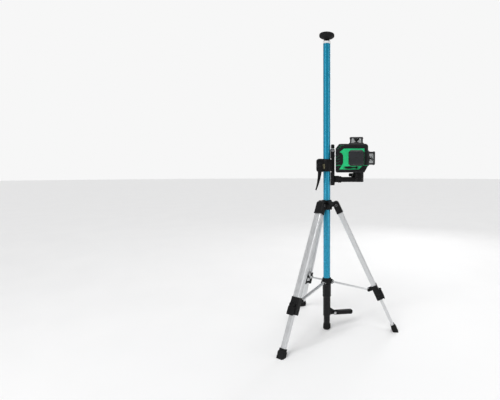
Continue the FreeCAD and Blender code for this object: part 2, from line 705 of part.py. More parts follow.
def clamp():
    """The liner on the pole, the split clamp round it and the lever that closes the clamp."""
    half = LINER_HEIGHT / 2
    liner = tube(LINER_R, POLE_BORE, (0, 0, BRACKET_Z - half), (0, 0, BRACKET_Z + half))
    save("clamp_liner", liner)

    low, high = BRACKET_Z - CLAMP_HEIGHT / 2, BRACKET_Z + CLAMP_HEIGHT / 2
    around = rod(CLAMP_HALF, (0, 0, low), (0, 0, high))
    back = box((0, RAIL_X[0]), (CLAMP_FRONT, -CLAMP_FRONT), (low, high))
    ear = box((CLAMP_LEFT, -8), (CLAMP_FRONT, -CLAMP_FRONT), (low - 2, high + 2))
    ear = rounded(ear, 8.0, Y_AXIS)
    slit = box((CLAMP_LEFT - EXTRA, 0), (-1.0, 1.0), (low - 3, high + 3))
    bolt_hole = rod(STUD_R + RUN, (CLAMP_BOLT_X, -CLAMP_HALF, BRACKET_Z), (CLAMP_BOLT_X, CLAMP_HALF, BRACKET_Z))
    body = cut(
        joined(around, back, ear),
        rod(CLAMP_BORE, (0, 0, low - 3), (0, 0, high + 3)),
        box((RAIL_X[0], RAIL_X[0] + CLAMP_HALF), (-CLAMP_HALF, CLAMP_HALF), (low - 3, high + 3)),
        slit,
        bolt_hole,
    )
    save("clamp_body", body)

    hub = rod(9.0, (CLAMP_BOLT_X, CLAMP_LEVER_Y - 11, BRACKET_Z), (CLAMP_BOLT_X, CLAMP_LEVER_Y, BRACKET_Z))
    hub = hub.makeChamfer(1.5, rim_edges(hub, Y_AXIS, CLAMP_LEVER_Y - 11))
    tip_z = BRACKET_Z - CLAMP_LEVER_DROP
    tip_x = CLAMP_BOLT_X - 12
    bow = Part.Arc(
        Vector(CLAMP_BOLT_X - 6.5, 0, BRACKET_Z - 4),
        Vector(CLAMP_BOLT_X - 6.5, 0, BRACKET_Z - 42),
        Vector(tip_x - 2, 0, tip_z),
    ).toShape()
    end = Part.Arc(
        Vector(tip_x - 2, 0, tip_z), Vector(tip_x, 0, tip_z - 2), Vector(tip_x + 2, 0, tip_z)
    ).toShape()
    back_bow = Part.Arc(
        Vector(tip_x + 2, 0, tip_z),
        Vector(CLAMP_BOLT_X + 3.5, 0, BRACKET_Z - 40),
        Vector(CLAMP_BOLT_X + 8.5, 0, BRACKET_Z - 4),
    ).toShape()
    top = Part.LineSegment(
        Vector(CLAMP_BOLT_X + 8.5, 0, BRACKET_Z - 4), Vector(CLAMP_BOLT_X - 6.5, 0, BRACKET_Z - 4)
    ).toShape()
    outline = Part.Face(Part.Wire([bow, end, back_bow, top]))
    arm = placed(outline.extrude(Vector(0, 7, 0)), shift(0, CLAMP_LEVER_Y - 9, 0))
    bolt = rod(STUD_R, (CLAMP_BOLT_X, CLAMP_LEVER_Y - 1, BRACKET_Z), (CLAMP_BOLT_X, CLAMP_HALF - 1, BRACKET_Z))
    nut_start = -CLAMP_FRONT + GAP
    nut = rod(6.5, (CLAMP_BOLT_X, nut_start, BRACKET_Z), (CLAMP_BOLT_X, nut_start + 4, BRACKET_Z))
    save("clamp_lever", joined(hub, arm, bolt, nut))


def rail():
    """The fine-height rail, its screw and knob, and the carriage on the screw."""
    body = box(RAIL_X, (-RAIL_HALF, RAIL_HALF), (RAIL_BOTTOM, RAIL_TOP))
    body = rounded(body, 2.0, Z_AXIS)
    clear = CLAMP_HEIGHT / 2 + 3.0
    backs = [
        box((RAIL_BACK, RAIL_X[0] + 2), (-RAIL_HALF + 2, RAIL_HALF - 2), z)
        for z in ((RAIL_BOTTOM, BRACKET_Z - clear), (BRACKET_Z + clear, RAIL_TOP))
    ]
    body = joined(body, *backs)
    slot_low = ARM_PIVOT_Z - CARRIAGE_HEIGHT / 2 - FINE_TRAVEL - GAP
    slot_high = ARM_PIVOT_Z + CARRIAGE_HEIGHT / 2 + FINE_TRAVEL + GAP
    slot = box((RAIL_X[0] + 1.5, RAIL_X[1] + EXTRA), (-SLOT_HALF, SLOT_HALF), (slot_low, slot_high))
    screw_bore = rod(SCREW_R + RUN, (SCREW_X, 0, slot_low - 2), (SCREW_X, 0, RAIL_TOP + EXTRA))
    save("slide_rail", cut(body, slot, screw_bore))

    knob_bottom = RAIL_TOP + 3.0
    screw = rod(SCREW_R, (SCREW_X, 0, slot_low - 2 + GAP), (SCREW_X, 0, knob_bottom + 6))
    washer = rod(SCREW_R + 2.0, (SCREW_X, 0, RAIL_TOP + GAP), (SCREW_X, 0, knob_bottom))
    save("lead_screw", joined(screw, washer))

    grip = placed(knob(KNOB_R, KNOB_HEIGHT, 8, 1.6), shift(SCREW_X, 0, knob_bottom))
    save("height_knob", grip.cut(rod(SCREW_R, (SCREW_X, 0, knob_bottom), (SCREW_X, 0, knob_bottom + 6))))

    z = (ARM_PIVOT_Z - CARRIAGE_HEIGHT / 2, ARM_PIVOT_Z + CARRIAGE_HEIGHT / 2)
    nut_half = SLOT_HALF - GAP
    nut = box((RAIL_X[0] + 1.5 + GAP, RAIL_X[1] + GAP + EXTRA), (-nut_half, nut_half), z)
    cheek_out = CARRIAGE_HALF
    block = box((RAIL_X[1] + GAP, ARM_PIVOT_X), (-cheek_out, cheek_out), (z[0] - 2, z[1] + 4))
    block = rounded(block, 3.0, X_AXIS)
    fork_end = rod(ARM_EYE_R + 1, (ARM_PIVOT_X, -cheek_out, ARM_PIVOT_Z), (ARM_PIVOT_X, cheek_out, ARM_PIVOT_Z))
    eye_half = ARM_EYE_WIDTH / 2 + GAP
    eye_room = rod(ARM_EYE_R + GAP, (ARM_PIVOT_X, -eye_half, ARM_PIVOT_Z), (ARM_PIVOT_X, eye_half, ARM_PIVOT_Z))
    side_room = box((ARM_PIVOT_X, ARM_PIVOT_X + 20), (-eye_half, eye_half), (ARM_PIVOT_Z - 20, ARM_PIVOT_Z + 20))
    below_room = box((ARM_PIVOT_X - ARM_EYE_R - GAP, ARM_PIVOT_X + 20), (-eye_half, eye_half),
                     (ARM_PIVOT_Z - 20, ARM_PIVOT_Z))
    stud = (ARM_PIVOT_X, -20, ARM_PIVOT_Z), (ARM_PIVOT_X, cheek_out - 1.5, ARM_PIVOT_Z)
    body = cut(
        joined(block, fork_end, nut),
        eye_room,
        side_room,
        below_room,
        rod(SCREW_R + RUN, (SCREW_X, 0, z[0] - EXTRA), (SCREW_X, 0, z[1] + EXTRA)),
        rod(STUD_R + RUN, *stud),
    )
    save("carriage", body)


PAN_Z = ARM_PIVOT_Z + TURNTABLE_RISE - PAN_KNOB_DROP


def arm():
    """The platform arm, its pivot knob, the turntable with its screw, and the pan lock."""
    half = ARM_EYE_WIDTH / 2
    eye = rod(ARM_EYE_R, (ARM_PIVOT_X, -half, ARM_PIVOT_Z), (ARM_PIVOT_X, half, ARM_PIVOT_Z))
    bottom = ARM_PIVOT_Z - ARM_EYE_R
    top = bottom + ARM_THICK
    wide_start = ARM_PIVOT_X + ARM_EYE_R + 3.0
    neck = box((ARM_PIVOT_X, wide_start + 2), (-half, half), (bottom, top))
    bar = box((wide_start, TURNTABLE_X), (-ARM_HALF, ARM_HALF), (bottom, top))
    bar = rounded(bar, 3.0, X_AXIS)
    turntable_top = ARM_PIVOT_Z + TURNTABLE_RISE
    turntable_bottom = turntable_top - TURNTABLE_HEIGHT
    boss = rod(TURNTABLE_R, (TURNTABLE_X, 0, bottom), (TURNTABLE_X, 0, turntable_bottom - GAP))
    table_room = rod(TURNTABLE_R + 1.5, (TURNTABLE_X, 0, turntable_bottom - GAP), (TURNTABLE_X, 0, turntable_top))
    lug_x = (TURNTABLE_X - TURNTABLE_R - 5.5, TURNTABLE_X - TURNTABLE_R - 1.5)
    lug = box(lug_x, (-7, 7), (top - 4, PAN_Z + PAN_KNOB_R))
    lug = rounded(lug, 3.0, X_AXIS)
    pan_hole = rod(PAN_STUD_R + RUN, (lug_x[0] - EXTRA, 0, PAN_Z), (lug_x[1] + EXTRA, 0, PAN_Z))
    screw_room = rod(MOUNT_SCREW_R + 3, (TURNTABLE_X, 0, bottom - EXTRA), (TURNTABLE_X, 0, turntable_bottom))
    body = cut(
        joined(eye, neck, bar, boss, lug),
        table_room,
        pan_hole,
        screw_room,
        rod(STUD_R + RUN, (ARM_PIVOT_X, -half, ARM_PIVOT_Z), (ARM_PIVOT_X, half, ARM_PIVOT_Z)),
    )
    save("platform_arm", body)

    cheek_out = CARRIAGE_HALF
    grip = placed(knob(PIVOT_KNOB_R, 11, 8, 2.8), turn(X_AXIS, 90))
    grip = placed(grip, shift(ARM_PIVOT_X, -cheek_out - GAP, ARM_PIVOT_Z))
    stud = rod(STUD_R, (ARM_PIVOT_X, -cheek_out - 3, ARM_PIVOT_Z), (ARM_PIVOT_X, cheek_out - 1.5 - GAP, ARM_PIVOT_Z))
    save("pivot_knob", joined(grip, stud))

    table = rod(TURNTABLE_R, (TURNTABLE_X, 0, turntable_bottom), (TURNTABLE_X, 0, turntable_top))
    table = table.makeChamfer(0.8, rim_edges(table, Z_AXIS, turntable_bottom))
    rib_count = 20
    for count in range(rib_count):
        angle = 2 * math.pi * (count + 0.5) / rib_count
        at = TURNTABLE_X + TURNTABLE_R * math.cos(angle), TURNTABLE_R * math.sin(angle)
        table = table.cut(rod(1.0, (*at, turntable_bottom + 3), (*at, turntable_top - 3)))
    screw = joined(
        rod(MOUNT_SCREW_R, (TURNTABLE_X, 0, turntable_bottom + 4), (TURNTABLE_X, 0, turntable_top + SCREW_RISE)),
        rod(MOUNT_SCREW_R + 2, (TURNTABLE_X, 0, turntable_bottom - 6), (TURNTABLE_X, 0, turntable_bottom + 4)),
    )
    save("turntable", table.cut(screw))
    save("mount_screw", screw)

    grip = placed(knob(PAN_KNOB_R, 8, 6, 1.8), turn(Y_AXIS, -90))
    grip = placed(grip, shift(lug_x[0] - GAP, 0, PAN_Z))
    stud = rod(PAN_STUD_R, (lug_x[0] - 2, 0, PAN_Z), (lug_x[1] + 0.7, 0, PAN_Z))
    save("pan_knob", joined(grip, stud))


# ---------------------------------------------------------------- level

LEVEL_Z = ARM_PIVOT_Z + TURNTABLE_RISE
LEVEL_PLACE = shift(TURNTABLE_X, 0, LEVEL_Z).multiply(turn(Z_AXIS, LEVEL_YAW))
LASER_PLACE = LEVEL_PLACE.multiply(shift(WINDOW_X, 0, 0))
PANEL_FACE = -LEVEL_HALF + ARMOUR_FACE - PANEL_PROUD
SIDE_FACE = LEVEL_RIGHT - BAND_INSET
TOP_FACE = LEVEL_HEIGHT - BAND_INSET
CHAMBER_X = (WALL_X + 1.5, LEVEL_RIGHT - 6.5)
CHAMBER_HALF = 26.0
CHAMBER_Z = (6.0, LEVEL_HEIGHT - 7.0)
BAY_X = (LEVEL_LEFT + 5.0, WALL_X - 1.5)
BAY_Z = (8.0, LEVEL_HEIGHT - 15.0)
DOOR_THICK = 4.5
GIMBAL_Z = LEVEL_HEIGHT - 22.0
GIMBAL_R = 20.0
GIMBAL_PIN_R = 1.5


def body_block(inset, y, rims=()):
    """The level's front outline, drawn in from its outermost face and carried along Y."""
    left, right = LEVEL_LEFT + inset, LEVEL_RIGHT - inset
    low, high = inset, LEVEL_HEIGHT - inset
    slope = inset * 0.5
    outline = [
        (left, low),
        (right - 12 + slope, low),
        (right, low + 22 - slope),
        (right, high),
        (left + 12 - slope, high),
        (left, high - 15 + slope),
    ]
    block = prism_y(outline, y)
    for x, z, radius in ((right, high, 10.0), (left, low, 6.0)):
        corner = [
            edge for edge in along(block, Y_AXIS)
            if abs(edge.CenterOfMass.x - x) < 0.01 and abs(edge.CenterOfMass.z - z) < 0.01
        ]
        block = block.makeFillet(radius - inset, corner)
    for rim in rims:
        block = block.makeChamfer(RIM, rim_edges(block, Y_AXIS, rim))
    return block


PANEL_OUTLINE = [
    (LEVEL_LEFT + 12, LEVEL_HEIGHT - 28),
    (LEVEL_LEFT + 28, LEVEL_HEIGHT - 15),
    (LEVEL_RIGHT - 12, LEVEL_HEIGHT - 15),
    (LEVEL_RIGHT - 12, 28.5),
    (LEVEL_RIGHT - 30.5, 10),
    (LEVEL_LEFT + 12, 10),
    (LEVEL_LEFT + 25, 31),
    (LEVEL_LEFT + 25, LEVEL_HEIGHT - 39),
    (LEVEL_LEFT + 21, LEVEL_HEIGHT - 31),
]


def panel(inset, y):
    """The coloured front panel, drawn in from the edge of the opening that shows it."""
    points = [Vector(x, y[0], z) for x, z in PANEL_OUTLINE]
    wire = Part.makePolygon(points + points[:1])
    face = Part.Face(wire)
    if inset:
        face = face.makeOffset2D(-inset, join=2)
    return face.extrude(Vector(0, y[1] - y[0], 0))


def window_places():
    """Where each window stands: made with its seat on the XY plane, it looks toward -Y, +X and +Z."""
    front = FreeCAD.Placement(Vector(WINDOW_X, PANEL_FACE, WINDOW_Z), FreeCAD.Rotation(X_AXIS, 90))
    side = FreeCAD.Placement(Vector(SIDE_FACE, 0, WINDOW_Z), FreeCAD.Rotation(Y_AXIS, 90))
    top = FreeCAD.Placement(Vector(WINDOW_X, 0, TOP_FACE), FreeCAD.Rotation())
    return [front, side, top]


def octagon(width, corner, z):
    """A square plate with its corners cut off."""
    half = width / 2
    plate = box((-half, half), (-half, half), z)
    return plate.makeChamfer(corner, along(plate, Z_AXIS))


def window_frame():
    """Flange, four corner posts, end cap and the ring under the prism, in one moulding."""
    flange = octagon(WINDOW_FLANGE, 7.0, (0, FLANGE_THICK))
    flange = flange.makeChamfer(1.2, rim_edges(flange, Z_AXIS, FLANGE_THICK))
    half = WINDOW_CAP / 2
    cap_low = WINDOW_STAND - CAP_THICK
    cap = rounded(box((-half, half), (-half, half), (cap_low, WINDOW_STAND)), 6.0, Z_AXIS)
    cap = cap.makeChamfer(1.8, rim_edges(cap, Z_AXIS, WINDOW_STAND))
    dimple = Part.makeSphere(1.6, Vector(0, 0, WINDOW_STAND + 1.0))
    pieces = [flange, cap]
    post_at = half - POST / 2 - POST_INSET
    boss_at = WINDOW_FLANGE / 2 - BOSS_INSET
    for sx in (-1, 1):
        for sy in (-1, 1):
            x, y = sx * post_at, sy * post_at
            post = box((x - POST / 2, x + POST / 2), (y - POST / 2, y + POST / 2), (0, WINDOW_STAND - 1))
            pieces.append(rounded(post, 1.2, Z_AXIS))
            at = (sx * boss_at, sy * boss_at)
            pieces.append(rod(BOSS_R, (*at, 0), (*at, FLANGE_THICK + BOSS_RISE)))
    seat_half = BEAM_R + 0.5
    seat = box((-seat_half, seat_half), (-seat_half, seat_half), (FLANGE_THICK, FLANGE_THICK + SEAT_THICK))
    seat = seat.makeChamfer(4.0, along(seat, Z_AXIS))
    pieces.append(seat)
    beam = rod(BEAM_R, (0, 0, -EXTRA), (0, 0, FLANGE_THICK + SEAT_THICK + EXTRA))
    return cut(joined(*pieces), beam, dimple)


def glass_panes():
    """The four panes of a window, between its posts."""
    half = WINDOW_CAP / 2 - 3.0
    z = (FLANGE_THICK, WINDOW_STAND - CAP_THICK)
    square = box((-half, half), (-half, half), z)
    inner = half - PANE_WALL
    square = square.cut(box((-inner, inner), (-inner, inner), z))
    post_at = WINDOW_CAP / 2 - POST / 2 - POST_INSET
    boss_at = WINDOW_FLANGE / 2 - BOSS_INSET
    tools = []
    for sx in (-1, 1):
        for sy in (-1, 1):
            x, y = sx * post_at, sy * post_at
            tools.append(box((x - POST / 2, x + POST / 2), (y - POST / 2, y + POST / 2), z))
            at = (sx * boss_at, sy * boss_at)
            tools.append(rod(BOSS_R, (*at, 0), (*at, FLANGE_THICK + BOSS_RISE)))
    return cut(square, *tools)


def cone_prism():
    """The glass cone under a window's cap, its point toward the laser."""
    top = WINDOW_STAND - CAP_THICK
    rim = top - PRISM_RIM
    cone = Part.makeCone(0.4, CONE_R, CONE_R, Vector(0, 0, rim - CONE_R), Z_AXIS)
    return joined(cone, rod(CONE_R, (0, 0, rim), (0, 0, top)))


def slanted_slots(y):
    """The slots on the left of the armour: four slanted ones and three short level ones."""
    tools = []
    rise = 6.5
    for count in range(4):
        z = 20.0 + 9.4 * count
        outline = [
            (LEVEL_LEFT - EXTRA, z),
            (LEVEL_LEFT + 15, z + rise),
            (LEVEL_LEFT + 15, z + rise + 2.0),
            (LEVEL_LEFT - EXTRA, z + 2.0),
        ]
        tools.append(prism_y(outline, y))
    for start, length, drop in ((13.5, 15, 6.0), (9.5, 9, 11.0), (5.5, 5, 16.0)):
        x, z = LEVEL_LEFT + start, LEVEL_HEIGHT - drop
        tools.append(box((x, x + length), y, (z, z + 1.5)))
    return tools


def flange_room(place):
    """The room that a window's flange needs in the pieces round it."""
    return placed(octagon(WINDOW_FLANGE + 0.4, 7.1, (0, 12)), place)


def door_box(extra, y):
    """The battery door's outline, grown by an amount."""
    return box((BAY_X[0] + 1 - extra, BAY_X[1] - 1 + extra), y, (BAY_Z[0] + 2 - extra, BAY_Z[1] + extra))


KEY_X = (BAY_X[0] + BAY_X[1]) / 2
KEY_R = 5.0
KEY_Z = (LEVEL_HEIGHT - 6.0, LEVEL_HEIGHT + 0.6)
KEY_TRAVEL = 1.0
SLIDER_X = LEVEL_LEFT + 52.0
SLIDER_Z = 16.3
SLIDER_TRAVEL = 4.0
SLIDER_DEEP = 2.2


def level_shells():
    """The coloured core and the two rubber armour shells over it."""
    half = LEVEL_HALF
    core_y = (-half + ARMOUR_FACE, half - ARMOUR_FACE)
    band_y = (-half + FRONT_WRAP + GAP, half - REAR_WRAP - GAP)
    core = joined(
        body_block(CORE_INSET, core_y),
        body_block(BAND_INSET, band_y),
        panel(0.3, (PANEL_FACE, PANEL_FACE + 3)),
        rod(TURNTABLE_R - 2.5, (0, 0, 0), (0, 0, CORE_INSET + 1)),
    )
    chamber = box(CHAMBER_X, (-CHAMBER_HALF, CHAMBER_HALF), CHAMBER_Z)
    bay = box(BAY_X, (-CHAMBER_HALF, half + EXTRA), BAY_Z)
    for x in ((WINDOW_X + GIMBAL_R + 3.3, CHAMBER_X[1]), (CHAMBER_X[0], WINDOW_X - GIMBAL_R - 3.3)):
        chamber = chamber.cut(box(x, (-4, 4), (GIMBAL_Z - 6, CHAMBER_Z[1])))
    pin_bore = rod(GIMBAL_PIN_R + 0.1, (CHAMBER_X[0] + 1.5, 0, GIMBAL_Z), (CHAMBER_X[1] - 1.5, 0, GIMBAL_Z))
    beams = [
        rod(BEAM_R, (WINDOW_X, 0, WINDOW_Z), (WINDOW_X, -half, WINDOW_Z)),
        rod(BEAM_R, (WINDOW_X, 0, WINDOW_Z), (LEVEL_RIGHT, 0, WINDOW_Z)),
        rod(BEAM_R, (WINDOW_X, 0, WINDOW_Z), (WINDOW_X, 0, LEVEL_HEIGHT)),
    ]
    key_bore = rod(KEY_R + GAP, (KEY_X, 0, KEY_Z[0] - KEY_TRAVEL - GAP), (KEY_X, 0, LEVEL_HEIGHT + EXTRA))
    slider_room = box((SLIDER_X - 23 - SLIDER_TRAVEL, SLIDER_X + 26), (PANEL_FACE - EXTRA, PANEL_FACE + SLIDER_DEEP),
                      (SLIDER_Z - 4.6, SLIDER_Z + 4.6))
    screw_bore = rod(MOUNT_SCREW_R, (0, 0, -EXTRA), (0, 0, SCREW_RISE))
    places = window_places()
    core = cut(core, chamber, bay, pin_bore, key_bore, slider_room, screw_bore, *beams)
    core = cut(core, door_box(GAP, (half - DOOR_THICK - GAP, half + EXTRA)))
    core = joined(core, tube(MOUNT_SCREW_R + 3, MOUNT_SCREW_R, (0, 0, CORE_INSET), (0, 0, SCREW_RISE + 1)))
    save("level_core", placed(core, LEVEL_PLACE))

    front = cut(
        body_block(0, (-half, -half + FRONT_WRAP), [-half]),
        body_block(CORE_INSET, core_y),
        panel(0, (-half - EXTRA, -half + ARMOUR_FACE + EXTRA)),
        *[flange_room(place) for place in places[1:]],
        *slanted_slots((-half - EXTRA, -half + ARMOUR_FACE + EXTRA)),
    )
    corner_pad = ((23, 5), (15, 5), (7, 18), (7, 26), (11, 26), (23, 13))
    pad = prism_y([(LEVEL_RIGHT - x, z) for x, z in corner_pad], (-half - EXTRA, -half + 0.9))
    save("front_armour", placed(front.cut(pad), LEVEL_PLACE))

    rear = cut(
        body_block(0, (half - REAR_WRAP, half), [half]),
        body_block(CORE_INSET, core_y),
        door_box(GAP, (half - 12, half + EXTRA)),
        *[flange_room(place) for place in places[1:]],
    )
    save("rear_armour", placed(rear, LEVEL_PLACE))


def level_windows():
    """The three windows: frames, panes and cones."""
    frame, panes, cone = window_frame(), glass_panes(), cone_prism()
    frames, glass, cones = [], [], []
    for place in window_places():
        frames.append(placed(placed(frame, place), LEVEL_PLACE))
        glass += placed(placed(panes, place), LEVEL_PLACE).Solids
        cones.append(placed(placed(cone, place), LEVEL_PLACE))
    save("window_frames", *frames)
    save("glass_panes", *glass)
    save("cone_prisms", *cones)


def level_controls():
    """The battery and its door, the key on the top and the lock slider on the front."""
    pack = box((BAY_X[0] + 1, BAY_X[1] - 1), (-CHAMBER_HALF, LEVEL_HALF - DOOR_THICK - 2), (BAY_Z[0], BAY_Z[1] - 2))
    save("battery_pack", placed(rounded(pack, 3.0, Y_AXIS), LEVEL_PLACE))

    door = door_box(0, (LEVEL_HALF - DOOR_THICK, LEVEL_HALF))
    bottom = [edge for edge in along(door, X_AXIS) if edge.CenterOfMass.z < BAY_Z[0] + 3]
    door = door.makeFillet(DOOR_THICK / 2 - 0.02, bottom)
    grip = box((KEY_X - 9, KEY_X + 9), (LEVEL_HALF - 1.2, LEVEL_HALF + EXTRA), (BAY_Z[1] - 8, BAY_Z[1] - 4))
    save("battery_door", placed(door.cut(grip), LEVEL_PLACE))

    key = rod(KEY_R, (KEY_X, 0, KEY_Z[0]), (KEY_X, 0, KEY_Z[1]))
    key = key.makeFillet(0.6, rim_edges(key, Z_AXIS, KEY_Z[1]))
    save("mode_key", placed(key, LEVEL_PLACE))

    y = (PANEL_FACE - 1.0, PANEL_FACE + SLIDER_DEEP - GAP)
    blade = [(-22, 1.8), (-18, 2.4), (-15, 3.6), (-1, 3.6), (2, 2.0), (10, 1.5)]
    slider = joined(
        prism_y(blade + [(x, -z) for x, z in reversed(blade)], y),
        box((10, 17), y, (-1.5, 1.5)),
        rod(4.0, (18, y[0], 0), (18, y[1], 0)),
    )
    save("lock_slider", placed(placed(slider, shift(SLIDER_X, 0, SLIDER_Z)), LEVEL_PLACE))


def pendulum():
    """The gimbal ring and the pendulum that carries the three laser modules."""
    ring = tube(GIMBAL_R, GIMBAL_R - 3.5, (0, 0, GIMBAL_Z - 3.5), (0, 0, GIMBAL_Z + 3.5))
    pin_end = GIMBAL_R + 6.0
    pins = [rod(GIMBAL_PIN_R, (side * (GIMBAL_R - 2), 0, GIMBAL_Z), (side * pin_end, 0, GIMBAL_Z)) for side in (-1, 1)]
    bore = rod(GIMBAL_PIN_R + 0.1, (0, -GIMBAL_R - 1, GIMBAL_Z), (0, GIMBAL_R + 1, GIMBAL_Z))
    save("gimbal_ring", placed(cut(joined(ring, *pins), bore), LASER_PLACE))

    frame = joined(
        rod(11.0, (0, 0, GIMBAL_Z - 5), (0, 0, GIMBAL_Z + 5)),
        rod(GIMBAL_PIN_R, (0, -GIMBAL_R + 0.5, GIMBAL_Z), (0, GIMBAL_R - 0.5, GIMBAL_Z)),
        box((-8, 8), (-8, 8), (30, GIMBAL_Z)),
        rod(13.0, (0, 0, 13), (0, 0, 31)),
    )
    barrel = 5.0
    modules = [
        rod(barrel, (0, -5, WINDOW_Z), (0, -19, WINDOW_Z)),
        rod(barrel, (5, 0, WINDOW_Z), (19, 0, WINDOW_Z)),
        rod(barrel, (0, 0, GIMBAL_Z - 10), (0, 0, GIMBAL_Z + 10)),
    ]
    save("pendulum", placed(cut(frame, *modules), LASER_PLACE))
    save("laser_modules", *[placed(module, LASER_PLACE) for module in modules])


os.makedirs("parts", exist_ok=True)
pole()
jack()
spider()
legs()
hub_and_struts()
clamp()
rail()
arm()
level_shells()
level_windows()
level_controls()
pendulum()
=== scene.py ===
import json
import math

import bmesh
import bpy
from mathutils import Matrix, Vector


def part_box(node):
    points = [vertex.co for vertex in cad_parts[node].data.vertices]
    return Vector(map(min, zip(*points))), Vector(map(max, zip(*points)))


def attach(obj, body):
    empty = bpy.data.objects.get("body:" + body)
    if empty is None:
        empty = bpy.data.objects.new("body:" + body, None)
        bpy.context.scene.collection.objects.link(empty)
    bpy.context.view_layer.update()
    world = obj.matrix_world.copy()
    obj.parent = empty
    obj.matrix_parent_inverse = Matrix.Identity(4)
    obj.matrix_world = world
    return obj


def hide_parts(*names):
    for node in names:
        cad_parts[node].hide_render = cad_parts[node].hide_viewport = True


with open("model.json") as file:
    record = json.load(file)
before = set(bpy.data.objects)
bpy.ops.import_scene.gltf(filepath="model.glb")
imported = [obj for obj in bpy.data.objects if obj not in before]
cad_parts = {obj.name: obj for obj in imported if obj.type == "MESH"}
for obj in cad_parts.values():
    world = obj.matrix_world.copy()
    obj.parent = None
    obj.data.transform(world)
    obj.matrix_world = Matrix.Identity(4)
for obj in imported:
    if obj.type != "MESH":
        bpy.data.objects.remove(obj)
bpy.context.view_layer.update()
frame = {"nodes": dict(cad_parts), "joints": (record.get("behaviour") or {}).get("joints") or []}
nodes = frame["nodes"]
joints = {joint["name"]: joint for joint in frame["joints"]}

# Laser level on a pole with a folding tripod. Metres, +Z up, the pole on the Z axis, front toward -Y.
MM = 0.001
LEGS = (1, 2, 3)
UP = Vector((0, 0, 1))


# ---------------------------------------------------------------- camera, floor and light

CAMERA_AZIMUTH = math.radians(-5.3)
CAMERA_DISTANCE = 1.2
CAMERA_HEIGHT = 0.547
CAMERA_DOWN = math.radians(4.5)
CAMERA_LENS = 25.4
CAMERA_SHIFT = -0.1536  # the pole stands right of the picture's middle


def camera():
    data = bpy.data.cameras.new("camera")
    data.lens = CAMERA_LENS
    data.shift_x = CAMERA_SHIFT
    obj = bpy.data.objects.new("camera", data)
    obj.location = (
        CAMERA_DISTANCE * math.sin(CAMERA_AZIMUTH),
        -CAMERA_DISTANCE * math.cos(CAMERA_AZIMUTH),
        CAMERA_HEIGHT,
    )
    obj.rotation_euler = (math.pi / 2 - CAMERA_DOWN, 0, CAMERA_AZIMUTH)
    bpy.context.scene.collection.objects.link(obj)
    bpy.context.scene.camera = obj


def softbox(name, place, target, size, power):
    """A rectangular area light that faces a target."""
    data = bpy.data.lights.new(name, "AREA")
    data.shape = "RECTANGLE"
    data.size, data.size_y = size
    data.energy = power
    obj = bpy.data.objects.new(name, data)
    obj.location = place
    obj.rotation_euler = (Vector(target) - Vector(place)).to_track_quat("-Z", "Y").to_euler()
    bpy.context.scene.collection.objects.link(obj)


def sun(name, place, strength, width):
    """A broad distant light that shines from a place toward the origin."""
    data = bpy.data.lights.new(name, "SUN")
    data.energy = strength
    data.angle = math.radians(width)
    obj = bpy.data.objects.new(name, data)
    obj.rotation_euler = (-Vector(place)).to_track_quat("-Z", "Y").to_euler()
    bpy.context.scene.collection.objects.link(obj)


def studio():
    """Even light on the floor, strips that draw highlights, and a backdrop paler than the room's light."""
    middle = (0, 0, 0.5)
    sun("key_sun", (-1.1, -1.5, 2.2), 1.45, 35)
    sun("top_sun", (0.5, 0.4, 3.0), 0.85, 60)
    softbox("left_strip", (-1.5, -1.0, 0.8), middle, (0.3, 1.6), 5)
    softbox("right_strip", (1.7, -0.9, 0.8), middle, (0.3, 1.6), 5)
    softbox("rim_strip", (0.9, 1.6, 1.4), middle, (0.6, 1.4), 7)
    world = bpy.data.worlds.new("studio")
    world.use_nodes = True
    tree = world.node_tree
    backdrop = tree.nodes["Background"]
    backdrop.inputs["Color"].default_value = (0.93, 0.93, 0.93, 1)
    room = tree.nodes.new("ShaderNodeBackground")
    room.inputs["Strength"].default_value = 0.42
    seen = tree.nodes.new("ShaderNodeLightPath").outputs["Is Camera Ray"]
    either = tree.nodes.new("ShaderNodeMixShader")
    tree.links.new(seen, either.inputs[0])
    tree.links.new(room.outputs[0], either.inputs[1])
    tree.links.new(backdrop.outputs[0], either.inputs[2])
    tree.links.new(either.outputs[0], tree.nodes["World Output"].inputs["Surface"])
    bpy.context.scene.world = world
    bpy.context.scene.view_settings.view_transform = "Standard"


# ---------------------------------------------------------------- materials


